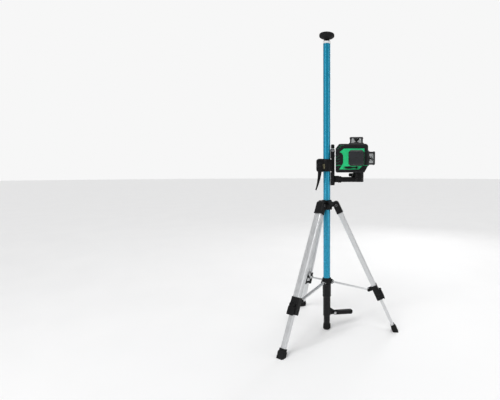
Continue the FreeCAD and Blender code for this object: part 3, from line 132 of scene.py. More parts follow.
class Paint:
    """A material whose colour, roughness and relief come from nodes."""

    def __init__(self, name):
        self.material = bpy.data.materials.new(name)
        self.material.use_nodes = True
        self.tree = self.material.node_tree
        self.shader = self.tree.nodes["Principled BSDF"]
        self.place = self.add("ShaderNodeTexCoord").outputs["Object"]

    def add(self, kind, settings=None, **inputs):
        """A node with its settings, and its inputs linked or set."""
        node = self.tree.nodes.new(kind)
        for key, value in (settings or {}).items():
            setattr(node, key, value)
        for key, value in inputs.items():
            self.put(node.inputs[key.replace("_", " ")], value)
        return node

    def put(self, socket, value):
        if isinstance(value, bpy.types.NodeSocket):
            self.tree.links.new(value, socket)
        else:
            socket.default_value = value

    def set(self, **inputs):
        for key, value in inputs.items():
            self.put(self.shader.inputs[key.replace("_", " ")], value)

    def maths(self, operation, first, second):
        node = self.add("ShaderNodeMath", {"operation": operation})
        self.put(node.inputs[0], first)
        self.put(node.inputs[1], second)
        return node.outputs[0]

    def vector(self, operation, first, second, output=0):
        node = self.add("ShaderNodeVectorMath", {"operation": operation})
        self.put(node.inputs[0], first)
        self.put(node.inputs[1], second)
        return node.outputs[output]

    def stretched(self, direction, keep):
        """The place with its measure along a direction shortened, so that noise draws streaks."""
        direction = Vector(direction).normalized()
        length = self.vector("DOT_PRODUCT", self.place, direction, "Value")
        shortened = self.maths("MULTIPLY", length, 1 - keep)
        scaled = self.add("ShaderNodeVectorMath", {"operation": "SCALE"}, Scale=shortened)
        scaled.inputs[0].default_value = direction
        return self.vector("SUBTRACT", self.place, scaled.outputs[0])

    def noise(self, place, scale, detail=2.0):
        return self.add("ShaderNodeTexNoise", Vector=place, Scale=scale, Detail=detail).outputs["Fac"]

    def span(self, value, low, high, start=0.3, end=0.7):
        """A value carried from start..end to low..high."""
        node = self.add("ShaderNodeMapRange", Value=value)
        for key, number in (("From Min", start), ("From Max", end), ("To Min", low), ("To Max", high)):
            node.inputs[key].default_value = number
        return node.outputs["Result"]

    def mixed(self, factor, first, second):
        node = self.add("ShaderNodeMix", {"data_type": "RGBA"})
        self.put(node.inputs["Factor"], factor)
        for socket, value in ((node.inputs[6], first), (node.inputs[7], second)):
            self.put(socket, value if isinstance(value, bpy.types.NodeSocket) else (*value, 1))
        return node.outputs[2]


def finish(name, colour, second, rough, spread=0.08, blotch=30.0, grain=2600.0, relief=0.02, edge=0.5,
           worn=None, worn_amount=0.5, dust=0.0, streak=None, scratches=0.0, **constants):
    """A finished surface.

    colour and second are its two colours, rough and spread its roughness and how much that varies, blotch the
    scale of the mottling, grain and relief the scale and depth (mm) of its texture, edge the softened edge
    radius (mm), worn and worn_amount the colour and strength of rubbed edges, dust how pale its upward faces
    go, streak the direction of its brushing and scratches their strength. constants go to the shader itself.
    """
    paint = Paint(name)
    place = paint.place
    fine = paint.stretched(streak, 0.02) if streak is not None else place
    mottle = paint.span(paint.noise(place, blotch, 3.0), 0.0, 1.0)
    tint = paint.mixed(mottle, colour, second)
    if streak is not None:
        lines = paint.span(paint.noise(fine, grain * 0.5, 3.0), 0.0, 0.35)
        tint = paint.mixed(lines, tint, tuple(channel * 0.72 for channel in colour))
    roughness = paint.span(paint.noise(place, blotch * 4, 3.0), rough - spread, rough + spread)
    bevel = paint.add("ShaderNodeBevel", {"samples": 4}, Radius=edge * MM)
    if worn is not None:
        flat = paint.add("ShaderNodeNewGeometry").outputs["Normal"]
        turned = paint.vector("DOT_PRODUCT", bevel.outputs[0], flat, "Value")
        edges = paint.span(turned, 0.0, 1.0, 0.985, 0.86)
        patches = paint.span(paint.noise(place, 90.0, 4.0), 0.0, worn_amount, 0.42, 0.66)
        rubbed = paint.maths("MULTIPLY", edges, patches)
        tint = paint.mixed(rubbed, tint, worn)
    if dust:
        up = paint.add("ShaderNodeSeparateXYZ", Vector=paint.add("ShaderNodeTexCoord").outputs["Normal"])
        lying = paint.span(up.outputs["Z"], 0.0, dust, 0.55, 1.0)
        settled = paint.maths("MULTIPLY", lying, paint.span(paint.noise(place, 140.0, 4.0), 0.2, 1.0))
        tint = paint.mixed(settled, tint, (0.42, 0.41, 0.39))
    if scratches:
        across = paint.noise(paint.stretched((0.3, 0.5, 1.0), 0.03), 900.0, 1.0)
        marks = paint.span(across, 0.0, scratches, 0.66, 0.74)
        roughness = paint.maths("ADD", roughness, marks)
    texture = paint.noise(fine, grain, 3.0)
    bump = paint.add(
        "ShaderNodeBump", Height=texture, Normal=bevel.outputs[0], Strength=0.6, Distance=relief * MM
    )
    paint.set(Base_Color=tint, Roughness=roughness, Normal=bump.outputs[0], **constants)
    return paint.material


def glass(name, colour, rough, ior):
    """Clear glass with faint smears."""
    paint = Paint(name)
    smears = paint.span(paint.noise(paint.stretched((1, 0.4, 0.8), 0.3), 160.0, 4.0), rough, rough + 0.05)
    waves = paint.noise(paint.place, 220.0, 1.0)
    ripple = paint.add("ShaderNodeBump", Height=waves, Strength=0.15, Distance=0.02 * MM)
    tint = paint.mixed(paint.noise(paint.place, 60.0), colour, tuple(channel * 0.93 for channel in colour))
    paint.set(Base_Color=tint, Roughness=smears, Normal=ripple.outputs[0], Transmission_Weight=1.0, IOR=ior)
    return paint.material


def floor_paint():
    paint = Paint("floor_paint")
    tint = paint.mixed(paint.noise(paint.place, 3.0), (0.86, 0.86, 0.865), (0.90, 0.90, 0.90))
    texture = paint.noise(paint.place, 300.0, 3.0)
    bump = paint.add("ShaderNodeBump", Height=texture, Strength=0.1, Distance=0.1 * MM)
    rough = paint.span(paint.noise(paint.place, 8.0, 3.0), 0.55, 0.7)
    paint.set(Base_Color=tint, Roughness=rough, Normal=bump.outputs[0])
    return paint.material


GREY_WEAR = (0.16, 0.165, 0.17)
M = {
    "pole": finish(
        "pole_anodised", (0.002, 0.31, 0.50), (0.002, 0.285, 0.465), rough=0.28, spread=0.05, blotch=10.0,
        grain=700.0, relief=0.003, edge=0.3, streak=UP, scratches=0.08, Metallic=0.5, Coat_Weight=0.35,
        Coat_Roughness=0.12, Anisotropic=0.3,
    ),
    "white": finish(
        "white_plastic", (0.83, 0.84, 0.85), (0.74, 0.75, 0.74), rough=0.35, spread=0.07, blotch=45.0,
        grain=1400.0, relief=0.01, edge=0.5,
    ),
    "plastic": finish(
        "black_plastic", (0.0035, 0.0035, 0.004), (0.0025, 0.0025, 0.003), rough=0.42, spread=0.09,
        blotch=60.0, grain=2400.0, relief=0.035, edge=0.6, worn=GREY_WEAR, worn_amount=0.3, dust=0.01,
        scratches=0.08, Specular_IOR_Level=0.22,
    ),
    "sleeve": finish(
        "black_sleeve", (0.004, 0.004, 0.005), (0.003, 0.003, 0.0035), rough=0.36, spread=0.07,
        blotch=40.0, grain=1100.0, relief=0.02, edge=0.4, worn=(0.20, 0.21, 0.22), worn_amount=0.35,
        streak=UP, scratches=0.12, Specular_IOR_Level=0.25,
    ),
    "rubber": finish(
        "black_rubber", (0.005, 0.005, 0.006), (0.008, 0.008, 0.008), rough=0.78, spread=0.08,
        blotch=70.0, grain=1800.0, relief=0.06, edge=0.8, dust=0.05, Specular_IOR_Level=0.25,
    ),
    "steel": finish(
        "steel", (0.56, 0.57, 0.58), (0.40, 0.40, 0.41), rough=0.30, spread=0.10, blotch=90.0,
        grain=1600.0, relief=0.01, edge=0.3, scratches=0.15, Metallic=1.0,
    ),
    "chrome": finish(
        "chrome_steel", (0.74, 0.75, 0.77), (0.58, 0.59, 0.61), rough=0.12, spread=0.05, blotch=90.0,
        grain=1600.0, relief=0.004, edge=0.2, Metallic=1.0,
    ),
    "green": finish(
        "level_green", (0.006, 0.60, 0.215), (0.004, 0.54, 0.18), rough=0.30, spread=0.07, blotch=35.0,
        grain=1900.0, relief=0.02, edge=0.5, worn=(0.10, 0.68, 0.34), worn_amount=0.35, scratches=0.06,
        Coat_Weight=0.15, Coat_Roughness=0.2,
    ),
    "armour": finish(
        "armour_rubber", (0.0045, 0.005, 0.006), (0.007, 0.008, 0.009), rough=0.60, spread=0.08,
        blotch=55.0, grain=2100.0, relief=0.07, edge=1.0, worn=GREY_WEAR, worn_amount=0.45, dust=0.02,
        Sheen_Weight=0.04, Sheen_Roughness=0.5, Specular_IOR_Level=0.22,
    ),
    "window": finish(
        "window_black", (0.005, 0.005, 0.006), (0.003, 0.003, 0.004), rough=0.18, spread=0.06,
        blotch=70.0, grain=900.0, relief=0.008, edge=0.5, worn=(0.08, 0.09, 0.10), worn_amount=0.3,
        scratches=0.08, Coat_Weight=0.3, Coat_Roughness=0.08,
    ),
    "cap": finish(
        "cap_satin", (0.010, 0.012, 0.015), (0.007, 0.008, 0.010), rough=0.40, spread=0.07, blotch=50.0,
        grain=2300.0, relief=0.02, edge=0.7, worn=(0.20, 0.21, 0.23), worn_amount=0.6, scratches=0.1,
    ),
    "prism_seat": finish(
        "prism_seat", (0.045, 0.047, 0.05), (0.03, 0.031, 0.033), rough=0.5, spread=0.08, blotch=80.0,
        grain=2000.0, relief=0.02,
    ),
    "battery": finish(
        "battery_case", (0.06, 0.065, 0.075), (0.045, 0.05, 0.055), rough=0.4, spread=0.08, blotch=60.0,
        grain=2000.0, relief=0.02,
    ),
    "alloy": finish(
        "pendulum_alloy", (0.50, 0.51, 0.53), (0.40, 0.41, 0.42), rough=0.35, spread=0.08, blotch=60.0,
        grain=1500.0, relief=0.015, Metallic=1.0,
    ),
    "brass": finish(
        "module_brass", (0.66, 0.46, 0.16), (0.52, 0.35, 0.12), rough=0.3, spread=0.08, blotch=80.0,
        grain=1500.0, relief=0.01, Metallic=1.0,
    ),
    "key": finish(
        "key_rubber", (0.045, 0.046, 0.05), (0.03, 0.031, 0.034), rough=0.65, spread=0.08, blotch=90.0,
        grain=2200.0, relief=0.03,
    ),
    "label": finish(
        "label_yellow", (0.86, 0.80, 0.015), (0.78, 0.70, 0.012), rough=0.38, spread=0.06, blotch=70.0,
        grain=1500.0, relief=0.008,
    ),
    "label_ink": finish(
        "label_ink", (0.02, 0.02, 0.018), (0.035, 0.034, 0.03), rough=0.5, spread=0.06, blotch=200.0,
        grain=1800.0, relief=0.004,
    ),
    "worn_insert": finish(
        "clamp_insert", (0.23, 0.21, 0.12), (0.15, 0.14, 0.09), rough=0.45, spread=0.1, blotch=120.0,
        grain=1500.0, relief=0.02, scratches=0.1, Metallic=0.4,
    ),
    "pane": glass("window_glass", (0.97, 0.99, 0.99), rough=0.01, ior=1.3),
    "cone": glass("cone_glass", (0.93, 0.96, 0.96), rough=0.01, ior=1.5),
}


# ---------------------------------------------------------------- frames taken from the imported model


def spot(joint):
    return Vector(joints[joint]["pos_m"])


def direction(joint):
    return Vector(joints[joint]["axis"]).normalized()


def basis(origin, x, y, z):
    """The matrix of a local frame."""
    matrix = Matrix((x, y, z)).transposed().to_4x4()
    matrix.translation = origin
    return matrix


def leg_frame(leg):
    """A leg's own frame: +Z up the leg from its hinge, +X outward, +Y along the hinge pin."""
    along_pin = direction(f"leg_fold_{leg}")
    up = direction(f"leg_extend_{leg}")
    return basis(spot(f"leg_fold_{leg}"), along_pin.cross(up), along_pin, up)


def facing(origin, out, side=None):
    """A frame at a point on a face, +Z out of the face."""
    out = Vector(out).normalized()
    side = Vector(side) if side else (UP.cross(out) if abs(out.z) < 0.9 else Vector((1, 0, 0)))
    side = side.normalized()
    return basis(Vector(origin), side, out.cross(side), out)


LEG_FRAMES = {leg: leg_frame(leg) for leg in LEGS}
LEVEL = basis(spot("pan"), -direction("lock_slide"), -UP.cross(direction("lock_slide")), UP)


def level_box(node):
    """A node's lowest and highest corners in the level's own frame."""
    points = [LEVEL.inverted() @ vertex.co for vertex in nodes[node].data.vertices]
    return [Vector([pick(point[axis] for point in points) for axis in range(3)]) for pick in (min, max)]


frames_low, frames_high = level_box("window_frames")
FLANGE_HALF = frames_high.y
WINDOW_STAND = 24 * MM
CAP_HALF = FLANGE_HALF - 3 * MM
FLANGE_THICK = 4 * MM
WINDOW_Z = frames_low.z + FLANGE_HALF
WINDOW_X = (LEVEL.inverted() @ spot("gimbal_roll")).x
FRONT_WINDOW = LEVEL @ facing((WINDOW_X, frames_low.y + WINDOW_STAND, WINDOW_Z), (0, -1, 0), (1, 0, 0))
SIDE_WINDOW = LEVEL @ facing((frames_high.x - WINDOW_STAND, 0, WINDOW_Z), (1, 0, 0), (0, 1, 0))
TOP_WINDOW = LEVEL @ facing((WINDOW_X, 0, frames_high.z - WINDOW_STAND), (0, 0, 1), (1, 0, 0))
WINDOWS = (FRONT_WINDOW, SIDE_WINDOW, TOP_WINDOW)


# ---------------------------------------------------------------- mesh helpers


def mm(*points):
    """Points given in millimetres."""
    return [tuple(value * MM for value in point) for point in points]


def lathe(bm, place, profile, segments=48):
    """A closed (radius, height) profile turned about the Z axis of a frame; a radius of 0 closes an end."""
    rows = []
    for radius, height in profile:
        if radius <= 0:
            rows.append([bm.verts.new(place @ Vector((0, 0, height)))])
            continue
        row = []
        for step in range(segments):
            angle = 2 * math.pi * step / segments
            point = Vector((radius * math.cos(angle), radius * math.sin(angle), height))
            row.append(bm.verts.new(place @ point))
        rows.append(row)
    for low, high in zip(rows, rows[1:]):
        for step in range(segments):
            after = (step + 1) % segments
            corners = [(low, step), (low, after), (high, after), (high, step)]
            face = list(dict.fromkeys(row[index % len(row)] for row, index in corners))
            if len(face) > 2:
                bm.faces.new(face)
    if len(rows[0]) > 1 and len(rows[-1]) > 1:
        for step in range(segments):
            after = (step + 1) % segments
            bm.faces.new([rows[-1][step], rows[-1][after], rows[0][after], rows[0][step]])


def bead(bm, place, root, shoulder, crown, rise, height, segments=56):
    """A round ring: its radii at the root, the shoulder and the crown, and how far up the shoulder sits."""
    upward = [(root, 0), (shoulder, rise), (crown, height / 2)]
    lathe(bm, place, upward + [(shoulder, height - rise), (root, height)], segments)


def slab(bm, place, outline, low, high, taper=0.0):
    """An outline of (x, y) points carried from one height to another in a frame, drawn in at its top."""
    centre = Vector((sum(p[0] for p in outline), sum(p[1] for p in outline))) / len(outline)
    rows = []
    for height, inset in ((low, 0.0), (high, taper)):
        row = []
        for x, y in outline:
            point = Vector((x, y))
            point -= (point - centre).normalized() * inset
            row.append(bm.verts.new(place @ Vector((point.x, point.y, height))))
        rows.append(row)
    count = len(outline)
    for step in range(count):
        after = (step + 1) % count
        bm.faces.new([rows[0][step], rows[0][after], rows[1][after], rows[1][step]])
    bm.faces.new(list(reversed(rows[0])))
    bm.faces.new(rows[1])


def rounded_rect(half_x, half_y, radius, steps=6, centre=(0, 0)):
    """A rectangle's outline with round corners."""
    points = []
    for corner, (sx, sy) in enumerate(((1, 1), (-1, 1), (-1, -1), (1, -1))):
        for step in range(steps + 1):
            angle = math.pi / 2 * (corner + step / steps)
            points.append((
                centre[0] + sx * (half_x - radius) + radius * math.cos(angle),
                centre[1] + sy * (half_y - radius) + radius * math.sin(angle),
            ))
    return points


def ring_of(bm, place, outer, inner, low, high):
    """A frame-shaped band between two outlines with the same number of points."""
    count = len(outer)
    rows = []
    for outline, height in ((outer, low), (outer, high), (inner, high), (inner, low)):
        rows.append([bm.verts.new(place @ Vector((x, y, height))) for x, y in outline])
    for row, following in zip(rows, rows[1:] + rows[:1]):
        for step in range(count):
            after = (step + 1) % count
            bm.faces.new([row[step], row[after], following[after], following[step]])


def bar(bm, place, start, end, radius):
    """A bar with round ends between two points of a frame."""
    start, end = place @ Vector(start), place @ Vector(end)
    own = facing(start, end - start)
    length = (end - start).length
    quarter = [math.radians(angle) for angle in (22, 45, 68)]
    profile = [(0, 0)]
    profile += [(radius * math.sin(angle), radius * (1 - math.cos(angle))) for angle in quarter]
    profile += [(radius, radius), (radius, length - radius)]
    profile += [(radius * math.cos(angle), length - radius + radius * math.sin(angle)) for angle in quarter]
    profile += [(0, length)]
    lathe(bm, own, profile, 14)


def strip(bm, points, normals, width, height):
    """A low flat-topped strip that follows points on a surface, with the surface's normal at each."""
    rows = []
    for index, (point, normal) in enumerate(zip(points, normals)):
        before, after = points[max(index - 1, 0)], points[min(index + 1, len(points) - 1)]
        side = (after - before).normalized().cross(normal).normalized() * width / 2
        lift = normal * height
        section = (point - side - lift, point + side - lift, point + side + lift, point - side + lift)
        rows.append([bm.verts.new(corner) for corner in section])
    for row, following in zip(rows, rows[1:]):
        for step in range(4):
            after = (step + 1) % 4
            bm.faces.new([row[step], row[after], following[after], following[step]])
    bm.faces.new(rows[0])
    bm.faces.new(list(reversed(rows[-1])))


def dome(radius, height):
    """The profile of a domed head: a low wall, then a crown."""
    wall = height * 0.25
    crown = [math.radians(angle) for angle in (0, 15, 30, 45, 60, 75)]
    points = [(0, 0), (radius, 0)]
    points += [(radius * math.cos(angle), wall + (height - wall) * math.sin(angle)) for angle in crown]
    return points + [(0, height)]


def socket_screw(bm, place, radius, height):
    """A cap screw's head with a hexagon socket."""
    key = radius * 0.52
    lathe(bm, place, [(0, height * 0.35), (key, height * 0.35), (key, height), (radius * 0.86, height),
                      (radius, height * 0.85), (radius, 0), (0, 0)], 36)
    corners = [math.pi / 3 * count for count in range(6)]
    hexagon = [(key * 1.12 * math.cos(angle), key * 1.12 * math.sin(angle)) for angle in corners]
    slab(bm, place, hexagon, height * 0.3, height * 0.42)


def piece(name, bm, body, paint, bevel=0.0, replaces=()):
    """A new piece from a mesh: closed, smooth but for its hard edges, riding on a body."""
    bmesh.ops.recalc_face_normals(bm, faces=bm.faces)
    mesh = bpy.data.meshes.new(name)
    bm.to_mesh(mesh)
    bm.free()
    mesh.polygons.foreach_set("use_smooth", [True] * len(mesh.polygons))
    mesh.set_sharp_from_angle(angle=math.radians(34))
    mesh.materials.append(M[paint])
    obj = bpy.data.objects.new(name, mesh)
    bpy.context.scene.collection.objects.link(obj)
    if bevel:
        modifier = obj.modifiers.new("edges", "BEVEL")
        modifier.width = bevel * MM
        modifier.segments = 2
        modifier.limit_method = "ANGLE"
        modifier.angle_limit = math.radians(34)
        modifier.harden_normals = True
    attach(obj, body)
    if replaces:
        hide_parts(*replaces)
    return obj


# ---------------------------------------------------------------- pole, pad and jack


SLEEVE_R = 14.5 * MM
SLEEVE_LOWER_R = 12.75 * MM
SLEEVE_STEP_Z = 118 * MM
LEVER_REACH = 69 * MM
LEVER_DROOP = math.radians(5)
LEVER_TOP = 4.9 * MM  # its grip above the pivot
LEVER_HALF = 9.1 * MM  # the pin's end from its middle


def pad_piece():
    """The ceiling pad, with rings pressed in its face."""
    low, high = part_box("top_pad")
    radius, floor_z, top = high.x, low.z, high.z
    bm = bmesh.new()
    socket = 7.2 * MM
    profile = [(0, floor_z + 11.5 * MM), (socket, floor_z + 8.0 * MM), (socket, floor_z),
               (socket + 2.5 * MM, floor_z), (socket + 3.2 * MM, floor_z + 1.2 * MM),
               (radius * 0.62, floor_z + 3.4 * MM), (radius * 0.88, top - 10.6 * MM),
               (radius - 1.2 * MM, top - 9.2 * MM), (radius, top - 7.6 * MM), (radius, top - 3.0 * MM),
               (radius - 0.5 * MM, top - 1.3 * MM),
               (radius - 1.6 * MM, top - 0.3 * MM), (radius - 2.6 * MM, top)]
    for count in range(6):
        r = radius * (0.86 - 0.14 * count)
        profile += [(r, top - 0.2 * MM), (r - 0.8 * MM, top - 1.0 * MM), (r - 1.6 * MM, top - 1.0 * MM),
                    (r - 2.4 * MM, top - 0.2 * MM)]
    lathe(bm, Matrix(), profile + [(0, top - 0.2 * MM)], 64)
    piece("ceiling_pad", bm, "top_pad", "rubber", replaces=["top_pad"])


def foot_piece():
    """The ribbed rubber foot, hollow for the plunger."""
    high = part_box("pole_foot")[1]
    radius, top = high.x, high.z
    wall = mm((3.6, 0), (2.2, 0.8), (1.0, 2.4), (0.2, 4.6), (0, 7.0), (0.7, 8.6), (1.3, 9.0), (0.5, 9.6),
              (0.1, 11.2), (0.8, 12.7), (1.4, 13.0), (0.7, 13.6), (0.4, 15.4), (1.0, 17.6))
    bm = bmesh.new()
    outside = [(0, 0), *((radius - inset, height) for inset, height in wall)]
    inside = [(radius - 1.9 * MM, top - 0.7 * MM), (11.3 * MM, top), (11.02 * MM, top - 0.6 * MM),
              (11.02 * MM, 8.0 * MM), (0, 8.0 * MM)]
    lathe(bm, Matrix(), outside + inside, 56)
    piece("pole_foot_cap", bm, "plunger", "rubber", replaces=["pole_foot"])


def sleeve_pieces():
    """The beads and rivets of the jack sleeve."""
    low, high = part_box("jack_sleeve")
    bm = bmesh.new()
    for z, radius, size in ((low.z, SLEEVE_LOWER_R, 1.6 * MM), (SLEEVE_STEP_Z + 1.5 * MM, SLEEVE_R, 1.4 * MM),
                            (high.z - 4 * MM, SLEEVE_R, 1.2 * MM)):
        bead(bm, Matrix.Translation((0, 0, z)), radius - 0.2 * MM, radius + 0.35 * MM, radius + 0.5 * MM,
             0.25 * size, size)
    piece("sleeve_beads", bm, "pole", "sleeve")
    bm = bmesh.new()
    for degrees in (-95, 85):
        angle = math.radians(degrees)
        out = Vector((math.cos(angle), math.sin(angle), 0))
        at = out * (SLEEVE_R - 0.2 * MM) + UP * (high.z - 16 * MM)
        lathe(bm, facing(at, out), dome(2.6 * MM, 1.3 * MM), 24)
    piece("sleeve_rivets", bm, "pole", "sleeve")


def lever_pieces():
    """The folded lips and the clips on the pin of the jack lever."""
    pivot, axis = spot("jack_lever_swing"), direction("jack_lever_swing")
    out = Vector((pivot.x, pivot.y, 0)).normalized()
    bm = bmesh.new()
    for side in (-1, 1):
        face = pivot + axis * side * LEVER_HALF
        clip = mm((0, 0), (4.4, 0), (4.4, 0.5), (3.6, 1.0), (1.4, 1.1), (1.0, 0.6), (0, 0.6))
        lathe(bm, facing(face, axis * side), clip, 32)
    piece("jack_pin_clips", bm, "pole", "steel")
    bm = bmesh.new()
    droop = Matrix.Rotation(-LEVER_DROOP, 3, axis)
    local = basis(pivot, droop @ out, UP.cross(out), droop @ UP)
    for side in (-1, 1):
        y = side * 6.6 * MM
        bar(bm, local, (2 * MM, y, LEVER_TOP), (LEVER_REACH - 4 * MM, y, LEVER_TOP), 0.9 * MM)
    for count in range(4):
        x = LEVER_REACH - (12 + 7 * count) * MM
        bar(bm, local, (x, -4.6 * MM, LEVER_TOP), (x, 4.6 * MM, LEVER_TOP), 0.8 * MM)
    piece("lever_ribs", bm, "jack_lever", "plastic")


# ---------------------------------------------------------------- spider, legs and struts


HINGE_END = 16.7 * MM  # the hinge pin's end from the leg's middle
SPIDER_KNOB_FACE = 37.2 * MM  # from the pole's axis


def spider_pieces():
    """Screw heads on the leg hinges, and the cap of the clamping knob."""
    bm = bmesh.new()
    for leg in LEGS:
        place, axis = spot(f"leg_fold_{leg}"), direction(f"leg_fold_{leg}")
        for side in (-1, 1):
            socket_screw(bm, facing(place + axis * side * HINGE_END, axis * side), 3.5 * MM, 1.4 * MM)
    piece("hinge_screws", bm, "spider", "sleeve")
    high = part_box("spider")[1]
    bm = bmesh.new()
    for z in (high.z - 3.2 * MM, high.z - 6.4 * MM):
        bead(bm, Matrix.Translation((0, 0, z)), 16.2 * MM, 16.9 * MM, 17.0 * MM, 0.3 * MM, 1.6 * MM)
    piece("spider_ribs", bm, "spider", "plastic")
    axis = direction("spider_knob_turn")
    end = Vector((0, 0, spot("spider_knob_turn").z)) + axis * SPIDER_KNOB_FACE
    bm = bmesh.new()
    cap = mm((0, 0), (4.6, 0), (4.6, 0.7), (4.0, 1.2), (2.8, 1.2), (2.4, 0.7), (0, 0.9))
    lathe(bm, facing(end, axis), cap, 36)
    piece("spider_knob_cap", bm, "spider_knob", "plastic")


LEG_TUBE = (8.0 * MM, 12.5 * MM)  # half depth and half width of the upper section
LOCK_DROP = 322 * MM
LEVER_DROP = 328 * MM
CLEVIS = (-22 * MM, -312 * MM)
WALL = 2.5 * MM  # of the mouldings round a leg


def leg_pieces(leg):
    """The mouldings' lips and rivets, the lever's grip ribs and the tread on the foot of one leg."""
    place = LEG_FRAMES[leg]
    depth, width = LEG_TUBE
    bm = bmesh.new()
    outer = rounded_rect(depth + WALL + 0.7 * MM, width + WALL + 0.7 * MM, 3.6 * MM)
    inner = rounded_rect(depth + WALL - 0.4 * MM, width + WALL - 0.4 * MM, 2.8 * MM)
    ring_of(bm, place, outer, inner, -29.6 * MM, -26.4 * MM)
    piece(f"elbow_lip_{leg}", bm, f"leg_{leg}", "plastic", 0.4)

    bm = bmesh.new()
    for side in (-1, 1):
        out = place.to_3x3() @ Vector((0, side, 0))
        shoulder = place @ Vector((0, side * (width + WALL - 0.1 * MM), -19 * MM))
        lathe(bm, facing(shoulder, out), dome(2.8 * MM, 1.2 * MM), 24)
        collar = place @ Vector((-3 * MM, side * (width + 2.9 * MM), -(LOCK_DROP + 24 * MM)))
        socket_screw(bm, facing(collar, out), 2.6 * MM, 1.4 * MM)
        clevis = place @ Vector((CLEVIS[0], side * 9.2 * MM, CLEVIS[1]))
        lathe(bm, facing(clevis, out), dome(2.5 * MM, 1.0 * MM), 24)
        lever = place @ Vector((14 * MM, side * 9.7 * MM, -LEVER_DROP))
        lathe(bm, facing(lever, out), dome(2.0 * MM, 0.8 * MM), 20)
    piece(f"leg_rivets_{leg}", bm, f"leg_{leg}", "sleeve")

    bm = bmesh.new()
    for drop in (10.5 * MM, 13.5 * MM, 16.5 * MM):
        for side in (-1, 1):
            y = side * (width + 2.95 * MM)
            bar(bm, place, (-7.2 * MM, y, -(LOCK_DROP + drop)), (7.2 * MM, y, -(LOCK_DROP + drop)), 0.7 * MM)
    piece(f"lock_ribs_{leg}", bm, f"leg_{leg}", "plastic")

    bm = bmesh.new()
    for count in range(5):
        z = -(LOCK_DROP + (16.5 + 3.0 * count) * MM)
        bar(bm, place, (16.9 * MM, -9.5 * MM, z), (16.9 * MM, 9.5 * MM, z), 0.75 * MM)
    piece(f"lock_grip_{leg}", bm, f"lock_lever_{leg}", "plastic")

    length = spot(f"leg_fold_{leg}").z / direction(f"leg_extend_{leg}").z
    bm = bmesh.new()
    middle = (8.0 - 1.5 - 4.95) * MM
    for count in range(2):
        low = -(length - (13.0 - 3.6 * count) * MM)
        outer = rounded_rect(9.2 * MM, 13.5 * MM, 4.4 * MM, centre=(middle, 0))
        inner = rounded_rect(8.3 * MM, 12.6 * MM, 3.6 * MM, centre=(middle, 0))
        ring_of(bm, place, outer, inner, low - 1.1 * MM, low + 1.1 * MM)
    piece(f"foot_tread_{leg}", bm, f"lower_leg_{leg}", "rubber", 0.4)


def strut_pieces(leg):
    """The rivet heads at a strut's inner end."""
    hub, axis = spot(f"strut_fold_{leg}"), direction(f"strut_fold_{leg}")
    bm = bmesh.new()
    for side in (-1, 1):
        lathe(bm, facing(hub + axis * side * 8.2 * MM, axis * side), dome(2.3 * MM, 0.9 * MM), 24)
    piece(f"hub_rivets_{leg}", bm, "brace_hub", "steel")


def hub_pieces():
    """The ribs round the brace hub."""
    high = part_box("brace_hub")[1]
    bm = bmesh.new()
    for z in (high.z - 4.4 * MM, high.z - 7.4 * MM):
        bead(bm, Matrix.Translation((0, 0, z)), 14.8 * MM, 15.4 * MM, 15.5 * MM, 0.3 * MM, 1.4 * MM)
    piece("hub_ribs", bm, "brace_hub", "plastic")


# ---------------------------------------------------------------- bracket


PIVOT_KNOB_FACE = 21.9 * MM
PAN_KNOB_FACE = 8.6 * MM
ARM_HALF = 12.0 * MM


def knob_cap(name, joint, body, offset, radius, sign=1):
    """The raised cap on a knob's outer face."""
    axis = direction(joint) * sign
    bm = bmesh.new()
    lathe(bm, facing(spot(joint) + axis * offset, axis), [
        (0, 0), (radius, 0), (radius, 0.6 * MM), (radius * 0.92, 1.1 * MM), (radius * 0.66, 1.1 * MM),
        (radius * 0.6, 0.7 * MM), (radius * 0.3, 0.7 * MM), (radius * 0.24, 1.1 * MM), (0, 1.2 * MM),
    ], 40)
    piece(name, bm, body, "plastic")


